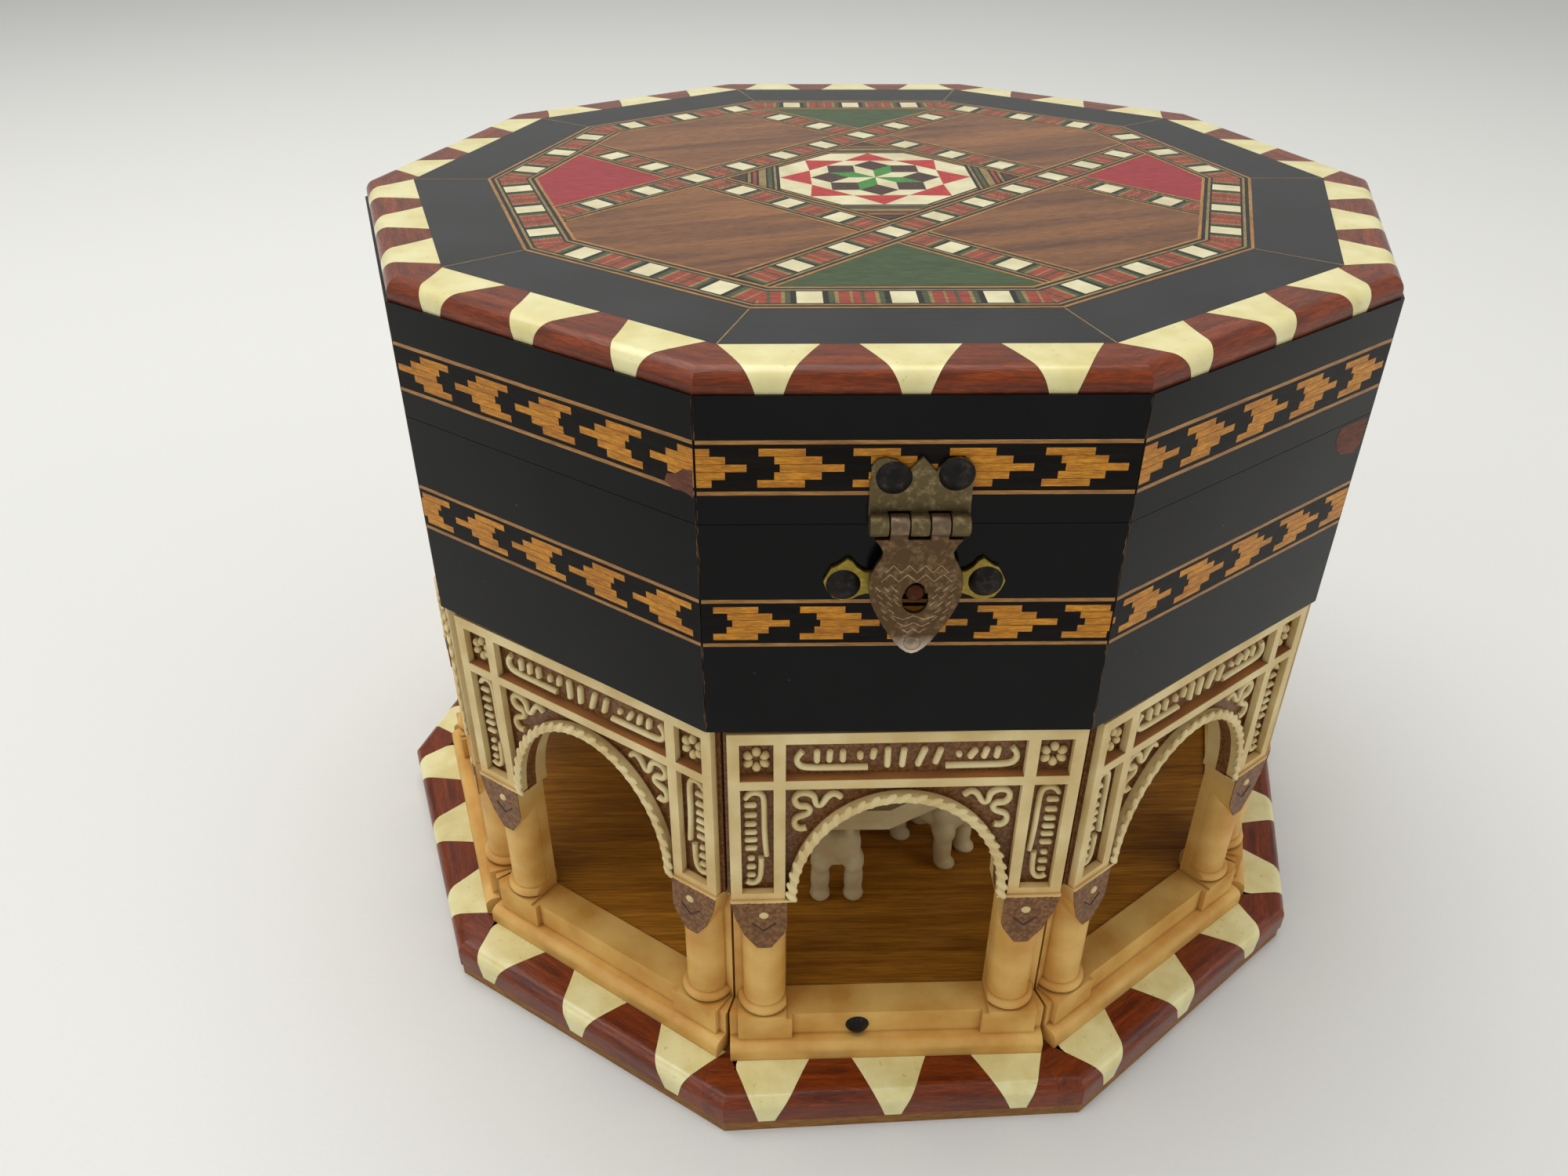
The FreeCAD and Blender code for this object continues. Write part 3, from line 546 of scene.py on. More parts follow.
# ------------------------------------------------------------------ mesh helpers
def finish_mesh(name: str, shape: bmesh.types.BMesh, materials: Sequence[bpy.types.Material], body: str,
                hides: Iterable[str] = (), smooth_deg: float = 0.0) -> bpy.types.Object:
    """Turn a bmesh into a finished piece that rides on a body.

    Args:
        name: the piece's name.
        shape: its mesh in metres, in place; it is freed.
        materials: one per material index.
        body: the body it rides on.
        hides: frame nodes it stands for.
        smooth_deg: edges flatter than this are shaded smooth; 0 leaves flat shading.

    Returns:
        The new object.
    """
    bmesh.ops.recalc_face_normals(shape, faces=shape.faces)
    mesh = bpy.data.meshes.new(name)
    shape.to_mesh(mesh)
    shape.free()
    for material in materials:
        mesh.materials.append(material)
    if smooth_deg:
        mesh.shade_smooth()
        mesh.set_sharp_from_angle(angle=math.radians(smooth_deg))
    piece = bpy.data.objects.new(name, mesh)
    bpy.context.scene.collection.objects.link(piece)
    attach(piece, body)
    if hides:
        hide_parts(*hides)
    LOG.info("%s: %d faces on %s", name, len(mesh.polygons), body)
    return piece


def pour(part: bmesh.types.BMesh, shape: bmesh.types.BMesh, place: Matrix | None = None) -> None:
    """Add one mesh to another.

    Args:
        part: mesh to add; it is freed.
        shape: mesh that it is added to.
        place: where it goes, or None to leave it where it is.
    """
    mesh = bpy.data.meshes.new("part")
    part.to_mesh(mesh)
    part.free()
    if place is not None:
        mesh.transform(place)
    shape.from_mesh(mesh)
    bpy.data.meshes.remove(mesh)


def repeat_round(shape: bmesh.types.BMesh, count: int = SIDES, turn_deg: float = 0.0,
                 centre: Vector | None = None) -> bmesh.types.BMesh:
    """Copy a front-side shape to every side.

    Args:
        shape: the front-side mesh; it is freed.
        count: how many copies, evenly spaced.
        turn_deg: turn of the whole ring.
        centre: the ring's centre, the origin by default.

    Returns:
        A new bmesh with all copies.
    """
    mesh = bpy.data.meshes.new("side")
    shape.to_mesh(mesh)
    shape.free()
    out = bmesh.new()
    middle = centre or Vector()
    for k in range(count):
        copy = mesh.copy()
        turn = Matrix.Rotation(2 * math.pi * k / count + math.radians(turn_deg), 4, "Z")
        copy.transform(Matrix.Translation(middle) @ turn)
        out.from_mesh(copy)
        bpy.data.meshes.remove(copy)
    bpy.data.meshes.remove(mesh)
    return out


def front_block(shape: bmesh.types.BMesh, s: Point, n: Point, z: Point, index: int = 0) -> None:
    """Add a block on the front side.

    Args:
        shape: mesh to add to.
        s: range along the side, mm.
        n: range of distance from the centre, mm.
        z: height range, mm.
        index: material index.
    """
    size = Vector((s[1] - s[0], n[1] - n[0], z[1] - z[0])) * MM
    middle = Vector(((s[0] + s[1]) / 2, -(n[0] + n[1]) / 2, (z[0] + z[1]) / 2)) * MM
    made = bmesh.ops.create_cube(shape, size=1.0,
                                 matrix=Matrix.Translation(middle) @ Matrix.Diagonal((*size, 1.0)))
    for face in {f for v in made["verts"] for f in v.link_faces}:
        face.material_index = index


def flat_tile(shape: bmesh.types.BMesh, corners: Sequence[Point], z_mm: float, index: int) -> None:
    """Add one flat tile facing up.

    Args:
        shape: mesh to add to.
        corners: x and y of its corners, mm.
        z_mm: its height.
        index: material index.
    """
    face = shape.faces.new([shape.verts.new((x * MM, y * MM, z_mm * MM)) for x, y in corners])
    face.material_index = index


def clip_convex(shape: bmesh.types.BMesh, planes: Iterable[tuple[Vector, Vector]]) -> None:
    """Cut away everything outside a convex set of planes.

    Args:
        shape: mesh to cut.
        planes: a point on each plane and its outward normal.
    """
    for point, normal in planes:
        whole = shape.verts[:] + shape.edges[:] + shape.faces[:]
        bmesh.ops.bisect_plane(shape, geom=whole, dist=1e-7, plane_co=point, plane_no=normal,
                               clear_outer=True)


def thicken_down(shape: bmesh.types.BMesh, depth_mm: float) -> None:
    """Give flat tiles a thickness below their faces.

    Args:
        shape: mesh of flat tiles.
        depth_mm: thickness.
    """
    made = bmesh.ops.extrude_face_region(shape, geom=shape.faces[:], use_keep_orig=True)
    moved = [v for v in made["geom"] if isinstance(v, bmesh.types.BMVert)]
    bmesh.ops.translate(shape, verts=moved, vec=(0.0, 0.0, -depth_mm * MM))


def ball(shape: bmesh.types.BMesh, centre: Vector, size: Vector, turn: Euler | None = None,
         detail: int = 2) -> None:
    """Add an ellipsoid.

    Args:
        shape: mesh to add to.
        centre: middle, mm.
        size: half axes, mm.
        turn: its rotation.
        detail: icosphere subdivisions.
    """
    place = Matrix.Translation(centre * MM)
    if turn is not None:
        place = place @ turn.to_matrix().to_4x4()
    place = place @ Matrix.Diagonal((*(size * MM), 1.0))
    made = bmesh.ops.create_icosphere(shape, subdivisions=detail, radius=1.0, matrix=place)
    for face in {f for v in made["verts"] for f in v.link_faces}:
        face.smooth = True


def relief_cord(shape: bmesh.types.BMesh, path: Sequence[Point], radius_mm: float, face_mm: float,
                depth: float = 1.0, index: int = 0) -> None:
    """Add a rounded ridge that follows a path on the front side's face.

    Args:
        shape: mesh to add to.
        path: (along, height) points, mm.
        radius_mm: half its width.
        face_mm: distance of its centre line from the box's centre.
        depth: its depth as a share of its width.
        index: material index.
    """
    curve = bpy.data.curves.new("ridge", "CURVE")
    curve.dimensions = "3D"
    curve.bevel_depth = radius_mm * MM
    curve.bevel_resolution = 2
    curve.resolution_u = 3
    curve.use_fill_caps = True
    spline = curve.splines.new("NURBS")
    spline.points.add(len(path) - 1)
    for point, (s, z) in zip(spline.points, path):
        point.co = (s * MM, 0.0, z * MM, 1.0)
    spline.order_u = min(3, len(path))
    spline.use_endpoint_u = True
    carrier = bpy.data.objects.new("ridge", curve)
    mesh = bpy.data.meshes.new_from_object(carrier)
    mesh.transform(Matrix.Translation((0.0, -face_mm * MM, 0.0)) @ Matrix.Diagonal((1.0, depth, 1.0, 1.0)))
    start = len(shape.faces)
    shape.from_mesh(mesh)
    shape.faces.ensure_lookup_table()
    for face in shape.faces[start:]:
        face.material_index = index
        face.smooth = True
    bpy.data.objects.remove(carrier)
    bpy.data.curves.remove(curve)
    bpy.data.meshes.remove(mesh)


# ------------------------------------------------------------------ plain frame nodes
@dataclass
class Carcass:
    """The frame's own pieces that keep their shape and only get their finishes."""

    palette: Palette
    nodes: dict[str, bpy.types.Object]

    def dress(self) -> None:
        """Give each kept node its finish."""
        by_start = {
            "bottom_board": "golden_board", "base_plate": "bare_walnut", "base_rim_ivory": "ivory_inlay",
            "base_rim_mahogany": "polished_mahogany", "arcade_panel": "painted_arcade",
            "court_floor": "court_boards", "fountain": "fountain_resin", "box_floor": "bare_walnut",
            "body_wall": "black_lacquer", "body_inlay": "ebony_ground", "lid_wall": "black_lacquer",
            "lid_inlay": "ebony_ground", "lid_top_board": "bare_walnut", "lid_rim_ivory": "ivory_inlay",
            "lid_rim_mahogany": "polished_mahogany", "lid_ebony": "lid_black", "marquetry": "black_veneer",
            "walnut_panels": "streaked_walnut", "green_panels": "green_dyed_veneer",
            "red_panels": "crimson_dyed_veneer", "star": "black_veneer", "rosette": "black_veneer",
            "hasp_plate": "olive_brass", "hasp_pin": "coppery_knuckle", "hasp_tab": "bronze_tab",
            "catch_plate": "yellow_brass", "box_nails": "nail_bronze", "lid_nails": "nail_bronze",
            "hinge": "olive_brass",
        }
        for name, node in self.nodes.items():
            finish = next(value for key, value in by_start.items() if name.startswith(key))
            for place in node.material_slots:
                place.material = self.palette[finish]
            LOG.info("%s wears %s", name, finish)


# ------------------------------------------------------------------ rim inlay
@dataclass
class RimInlay:
    """A rounded rim of alternating ivory and mahogany pieces, mitred at the corners."""

    palette: Palette
    name: str
    body: str
    out_mm: float
    width_mm: float
    pitch_mm: float
    inner_w: float
    outer_w: float
    turn_deg: float = 0.0
    shift_mm: float = 0.0
    fan: float = 0.0
    waist: float = 0.35
    round_mm: float = 2.6
    seam_mm: float = 0.06

    def build(self) -> None:
        """Build the ivory pieces and the mahogany pieces."""
        low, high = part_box(self.name + "_ivory")
        levels = (low.z / MM, high.z / MM)
        ivory, wood = bmesh.new(), bmesh.new()
        for j in (-1, 0, 1):
            self._slab(ivory, levels, (j, -1), (j, 1))
        for j in (-1, 0):
            self._slab(wood, levels, (j, 1), (j + 1, -1))
        self._slab(wood, levels, (1, 1), (0, 0))
        self._slab(wood, levels, (0, 0), (-1, -1))
        for part, shape, finish, slot in (("ivory", ivory, "ivory_inlay", "bone_inlay"),
                                          ("mahogany", wood, "polished_mahogany", "mahogany")):
            finish_mesh(f"{self.name}_{part}_rounded", repeat_round(shape, SIDES, self.turn_deg),
                        [self.palette[finish]], self.body, (f"{self.name}_{part}",), 40.0)

    def _edge(self, which: tuple[int, int], mitre_sign: int, n: float, drop: float, height: float) -> float:
        """Where a piece's side runs, measured over the rim from its inner top edge to its foot.

        Args:
            which: the ivory piece's number and its side, or (0, 0) for the mitre.
            mitre_sign: which corner a mitre is at.
            n: distance from the box's centre, mm.
            drop: depth below the rim's top, mm.
            height: the rim's height, mm.

        Returns:
            Place along the side, mm.
        """
        number, side = which
        if not side:
            return mitre_sign * (n * math.tan(HALF_SIDE) + self.seam_mm / 2)
        t = min(max((n - self.out_mm + self.width_mm + drop) / (self.width_mm + height), 0.0), 1.0)
        half = (self.inner_w + (self.outer_w - self.inner_w) * t) / 2 - self.waist * 4 * t * (1 - t)
        return self.shift_mm + number * self.pitch_mm * (1 + self.fan * (t - 0.4)) + side * half

    def _slab(self, shape: bmesh.types.BMesh, levels: Point, left: tuple[int, int],
              right: tuple[int, int]) -> None:
        """Add one piece between two curved sides, its outer top edge rounded.

        Args:
            shape: mesh to add to.
            levels: lowest and highest z, mm.
            left: side nearest -x, as _edge has it.
            right: side nearest +x.
        """
        part = bmesh.new()
        size = Vector((2.0, self.width_mm * MM, (levels[1] - levels[0]) * MM, 1.0))
        middle = Vector((0.0, -(self.out_mm - self.width_mm / 2) * MM, sum(levels) / 2 * MM))
        bmesh.ops.create_cube(part, size=1.0, matrix=Matrix.Translation(middle) @ Matrix.Diagonal(size))
        height = levels[1] - levels[0]
        flat = self.width_mm - self.round_mm
        cuts = [(Vector((0.0, flat * k / 6 - self.out_mm + self.round_mm, 0.0)), Vector((0.0, 1.0, 0.0)))
                for k in range(1, 6)]
        cuts += [(Vector((0.0, 0.0, levels[0] + (height - self.round_mm) * k / 4)), Vector((0.0, 0.0, 1.0)))
                 for k in range(1, 4)]
        for point, normal in cuts:
            bmesh.ops.bisect_plane(part, geom=part.verts[:] + part.edges[:] + part.faces[:], dist=1e-7,
                                   plane_co=point * MM, plane_no=normal)
        top, out = levels[1] * MM - 1e-6, -self.out_mm * MM + 1e-6
        edge = [e for e in part.edges if all(v.co.z > top and v.co.y < out for v in e.verts)]
        bmesh.ops.bevel(part, geom=edge + [v for e in edge for v in e.verts], offset=self.round_mm * MM,
                        segments=8, profile=0.5, affect="EDGES", material=-1)
        for vert in part.verts:
            n = -vert.co.y / MM
            drop = levels[1] - vert.co.z / MM
            start = self._edge(left, -1, n, drop, height) + self.seam_mm / 2
            end = self._edge(right, 1, n, drop, height) - self.seam_mm / 2
            vert.co.x = (start + (end - start) * (vert.co.x + 1.0) / 2) * MM
        pour(part, shape)


# ------------------------------------------------------------------ side bands
@dataclass
class MosaicBand:
    """A band of dark wood with light lines and stepped arrows of boxwood blocks."""

    palette: Palette
    name: str
    node: str
    body: str
    face_mm: float = 100.5
    line_mm: float = 0.65
    ground_line_mm: float = 0.65
    rows: int = 5
    pitch_mm: float = 13.95
    blocks_mm: tuple[float, ...] = (7.0, 6.9, 9.3, 6.9, 7.0)
    steps_mm: tuple[float, ...] = (-0.1, 2.2, 3.2, 2.4, 0.0)
    phase_mm: float = -2.9

    def build(self) -> None:
        """Build the lines and the blocks."""
        low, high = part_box(self.node)
        z0, z1 = low.z / MM, high.z / MM
        skin = (self.face_mm - TILE_DEPTH_MM, self.face_mm + INLAY_PROUD_MM)
        limit = self.face_mm * math.tan(HALF_SIDE) - 0.2
        lines = bmesh.new()
        for start in (z0, z1 - self.line_mm):
            front_block(lines, (-limit, limit), skin, (start, start + self.line_mm))
        finish_mesh(self.name + "_lines", repeat_round(lines), [self.palette["boxwood_lines"]], self.body)
        floor = z0 + self.line_mm + self.ground_line_mm
        row_h = (z1 - z0 - 2 * (self.line_mm + self.ground_line_mm)) / self.rows
        rng = random.Random(self.name)
        out = bmesh.new()
        for side in range(SIDES):
            shape = bmesh.new()
            shift = self.phase_mm + rng.uniform(-1.0, 1.0) * (side > 0)
            direction = -1 if side in (4, 9) else 1
            for arrow in range(-4, 5):
                for row in range(self.rows):
                    self._block(shape, arrow, row, shift, direction, (floor, row_h), skin, limit, rng)
            pour(shape, out, Matrix.Rotation(2 * HALF_SIDE * side, 4, "Z"))
        finish_mesh(self.name + "_blocks", out, [self.palette["boxwood_blocks"]], self.body)

    def _block(self, shape: bmesh.types.BMesh, arrow: int, row: int, shift: float, direction: int,
               rows: tuple[float, float], skin: Point, limit: float, rng: random.Random) -> None:
        """Add one light block, trimmed at the side's ends.

        Args:
            shape: mesh to add to.
            arrow: which arrow along the side.
            row: which row, from the bottom.
            shift: where the pattern starts.
            direction: 1 where the arrows point right.
            rows: lowest row's foot and the row height.
            skin: depth range.
            limit: half the side's width.
            rng: seeded generator for the hand-cut unevenness.
        """
        start = arrow * self.pitch_mm + shift + self.steps_mm[row] + rng.uniform(-0.15, 0.15)
        end = start + self.blocks_mm[row] + rng.uniform(-0.25, 0.25)
        s0, s1 = sorted((direction * start, direction * end))
        s0, s1 = max(s0, -limit), min(s1, limit)
        if s1 - s0 < 0.4:
            return
        z = rows[0] + row * rows[1]
        front_block(shape, (s0, s1), skin, (z + 0.03, z + rows[1] - 0.03))


# ------------------------------------------------------------------ lid marquetry
class Tint(Enum):
    """Colours of the marquetry, in the order of their material slots."""

    IVORY = 0
    BLACK = 1
    MOSS = 2
    BRICK = 3
    STRAW = 4
    LINE = 5
    LEAF = 6
    BROWN = 7
    RED = 8


@dataclass
class LidMarquetry:
    """Border, straps, rosette and mitre lines of the lid, laid as tiles over the ground pieces."""

    palette: Palette
    border_out: float = 75.8
    border_in: float = 66.0
    strap_w: float = 9.6
    strap_centre: float = 26.45
    lattice_turn_deg: float = 0.7
    lattice_shift: Point = (1.0, 0.9)
    block: float = 4.2
    strap_pitch: float = 13.225
    border_pitch: float = 15.1
    rosette_half: float = 20.0
    star_edge: float = 5.6
    top_mm: float = 0.0
    stripes: tuple[tuple[Tint, float], ...] = (
        (Tint.BLACK, 0.8), (Tint.MOSS, 0.8), (Tint.STRAW, 0.5), (Tint.BRICK, 1.5), (Tint.STRAW, 0.35),
        (Tint.BRICK, 1.1), (Tint.MOSS, 0.5), (Tint.BRICK, 1.4), (Tint.STRAW, 0.5), (Tint.MOSS, 0.7),
        (Tint.BLACK, 0.8))
    edging: tuple[tuple[Tint, float], ...] = ((Tint.LINE, 0.6), (Tint.BLACK, 0.7), (Tint.STRAW, 0.5),
                                               (Tint.BLACK, 0.4))

    def build(self) -> None:
        """Build all marquetry pieces."""
        self.top_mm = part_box("marquetry_border")[1].z / MM + INLAY_PROUD_MM
        self._border()
        self._straps()
        self._rosette()
        self._corners()
        self._mitres()

    def _materials(self) -> list[bpy.types.Material]:
        """One material per tint."""
        names = ("ivory_tesserae", "black_veneer", "moss_veneer", "brick_veneer", "straw_veneer",
                 "boxwood_lines", "leaf_green_veneer", "star_brown_veneer", "star_red_veneer")
        return [self.palette[name] for name in names]

    def _run(self, shape: bmesh.types.BMesh, span: Point, across: Point, pitch: float, first: float,
             place: Callable[[float, float], Point]) -> None:
        """Fill a strip's core with ivory blocks and stripes.

        Args:
            shape: mesh to add to.
            span: start and end along the strip.
            across: the core's two edges.
            pitch: from one ivory block to the next.
            first: centre of one ivory block.
            place: turns along and across into x and y.
        """
        def tile(u0: float, u1: float, tint: Tint) -> None:
            u0, u1 = max(u0, span[0]), min(u1, span[1])
            if u1 - u0 > 0.05:
                v0, v1 = across
                flat_tile(shape, [place(u0, v0), place(u1, v0), place(u1, v1), place(u0, v1)], self.top_mm,
                          tint.value)

        total = sum(width for _, width in self.stripes)
        gain = (pitch - self.block) / total
        number = int((span[0] - first) / pitch) - 2
        while first + number * pitch < span[1] + pitch:
            centre = first + number * pitch
            tile(centre - self.block / 2, centre + self.block / 2, Tint.IVORY)
            u = centre + self.block / 2
            for tint, width in self.stripes:
                tile(u, u + width * gain, tint)
                u += width * gain
            number += 1

    def _edges(self) -> list[tuple[Tint, float, float]]:
        """Tint and range of each line, in from a strip's edge."""
        out = []
        at = 0.0
        for tint, width in self.edging:
            out.append((tint, at, at + width))
            at += width
        return out

    def _settle(self, shape: bmesh.types.BMesh) -> None:
        """Move lattice work from its own axes to where it lies on the lid."""
        turn = Matrix.Rotation(math.radians(self.lattice_turn_deg), 4, "Z")
        place = Matrix.Translation(Vector((*self.lattice_shift, 0.0)) * MM) @ turn
        bmesh.ops.transform(shape, matrix=place, verts=shape.verts)

    def _border(self) -> None:
        """The decagonal border, mitred at its corners."""
        side = bmesh.new()
        slope = math.tan(HALF_SIDE)
        bands = []
        for tint, near, far in self._edges():
            bands.append((tint, self.border_out - far, self.border_out - near))
            bands.append((tint, self.border_in + near, self.border_in + far))
        for tint, low, high in bands:
            flat_tile(side, [(-high * slope, -high), (high * slope, -high), (low * slope, -low),
                             (-low * slope, -low)], self.top_mm, tint.value)
        inset = sum(width for _, width in self.edging)
        core = (self.border_in + inset, self.border_out - inset)
        half = core[1] * slope
        strip = bmesh.new()
        self._run(strip, (-half, half), core, self.border_pitch, 0.0, lambda u, v: (u, -v))
        lean = Vector((math.cos(HALF_SIDE), math.sin(HALF_SIDE), 0.0))
        mitre = [(Vector(), Vector((lean.x * sign, lean.y, 0.0))) for sign in (-1, 1)]
        clip_convex(strip, mitre)
        pour(strip, side)
        thicken_down(side, TILE_DEPTH_MM)
        finish_mesh("lid_border_mosaic", repeat_round(side), self._materials(), "lid")

    def _straps(self) -> None:
        """Four straps crossing on the diagonals; two run over, two stop at each crossing."""
        shape = bmesh.new()
        half = self.strap_w / 2
        inner = self.strap_centre - half
        outer = self.strap_centre + half
        reach = 64.0
        inset = sum(width for _, width in self.edging)
        for over in (True, False):
            spans = [(-reach, reach)] if over else [(-reach, -outer), (-inner, inner), (outer, reach)]
            angle = math.radians(45 if over else -45)
            cos_a, sin_a = math.cos(angle), math.sin(angle)
            for offset in (-self.strap_centre, self.strap_centre):
                def place(u: float, v: float, shift: float = offset) -> Point:
                    w = v + shift
                    return u * cos_a - w * sin_a, u * sin_a + w * cos_a
                for u0, u1 in spans:
                    for tint, near, far in self._edges():
                        for v0, v1 in ((half - far, half - near), (near - half, far - half)):
                            corners = [place(u0, v0), place(u1, v0), place(u1, v1), place(u0, v1)]
                            flat_tile(shape, corners, self.top_mm, tint.value)
                    self._run(shape, (u0, u1), (inset - half, half - inset), self.strap_pitch, 0.0, place)
        self._settle(shape)
        planes = []
        for k in range(SIDES):
            normal = Matrix.Rotation(2 * HALF_SIDE * k, 3, "Z") @ Vector((0.0, -1.0, 0.0))
            planes.append((normal * self.border_in * MM, normal))
        clip_convex(shape, planes)
        thicken_down(shape, TILE_DEPTH_MM)
        finish_mesh("lid_strap_mosaic", shape, self._materials(), "lid")

    def _rosette(self) -> None:
        """The eight-pointed star, its brown squares, and the ring of red and ivory points."""
        shape = bmesh.new()
        eighth = math.pi / 8
        tip = 2 * self.star_edge * math.cos(eighth)
        square_out = self.star_edge * (1 + math.sqrt(2))
        ring_corner = square_out / math.cos(eighth)
        outer = self.rosette_half
        outer_corner = outer / math.cos(eighth)

        def polar(radius: float, degrees: float) -> Point:
            a = math.radians(degrees - 90)
            return radius * math.cos(a), radius * math.sin(a)

        def tile(tint: Tint, *corners: Point) -> None:
            flat_tile(shape, corners, self.top_mm, tint.value)

        for k in range(8):
            a = 45.0 * k
            before, point, after = polar(tip, a - 22.5), polar(tip, a + 22.5), a + 45
            notch, square = polar(self.star_edge, a), polar(square_out, a)
            ring, ring_before = polar(ring_corner, a + 22.5), polar(ring_corner, a - 22.5)
            middle = polar(outer, a)
            tile(Tint.LEAF if k % 2 else Tint.IVORY, (0.0, 0.0), notch, point, polar(self.star_edge, after))
            tile(Tint.BROWN, notch, before, square, point)
            tile(Tint.IVORY, point, square, ring, polar(square_out, after))
            tile(Tint.RED, ring_before, middle, ring)
            tile(Tint.IVORY, ring, middle, polar(outer_corner, a + 22.5), polar(outer, after))
        reach = outer_corner * math.sin(eighth)
        for k in range(4):
            turn = Matrix.Rotation(math.radians(45 + 90 * k), 2)
            near, far = outer + 0.5, outer + 1.0
            corners = [(-reach, -near), (-reach, -far), (reach, -far), (reach, -near)]
            tile(Tint.STRAW, *[tuple(turn @ Vector(c)) for c in corners])
        self._settle(shape)
        thicken_down(shape, TILE_DEPTH_MM)
        finish_mesh("lid_star_tiles", shape, self._materials(), "lid")

    def _corners(self) -> None:
        """Striped triangles between the rosette and the straps' crossings."""
        side = bmesh.new()
        reach = (self.strap_centre - self.strap_w / 2) * math.sqrt(2) - 0.5
        stripes = ((Tint.BLACK, 0.7), (Tint.STRAW, 0.45), (Tint.BLACK, 0.5), (Tint.MOSS, 0.8),
                   (Tint.BLACK, 0.4), (Tint.STRAW, 1.5), (Tint.BLACK, 0.5), (Tint.BRICK, 0.7),
                   (Tint.BLACK, 0.5), (Tint.STRAW, 0.6), (Tint.BLACK, 0.5), (Tint.BROWN, 9.0))
        at = self.rosette_half
        for tint, width in stripes:
            far = min(at + width, reach - 0.3)
            half0, half1 = reach - at, reach - far
            flat_tile(side, [(-half1, -far), (-half0, -at), (half0, -at), (half1, -far)], self.top_mm,
                      tint.value)
            at = far
        shape = repeat_round(side, 4)
        self._settle(shape)
        thicken_down(shape, TILE_DEPTH_MM)
        finish_mesh("lid_corner_stripes", shape, self._materials(), "lid")

    def _mitres(self) -> None:
        """Hair lines where the black ring's ten lengths meet."""
        side = bmesh.new()
        a = -math.pi / 2 + HALF_SIDE
        c = math.cos(HALF_SIDE)
        low, high = self.border_out / c + 0.2, 90.3 / c
        wide = 0.12
        direction = Vector((math.cos(a), math.sin(a)))
        across = Vector((-direction.y, direction.x)) * wide
        corners = [direction * low - across, direction * high - across, direction * high + across,
                   direction * low + across]
        flat_tile(side, [(v.x, v.y) for v in corners], self.top_mm - 0.01, 0)
        thicken_down(side, 0.05)
        finish_mesh("lid_mitre_lines", repeat_round(side), [self.palette["straw_veneer"]], "lid")


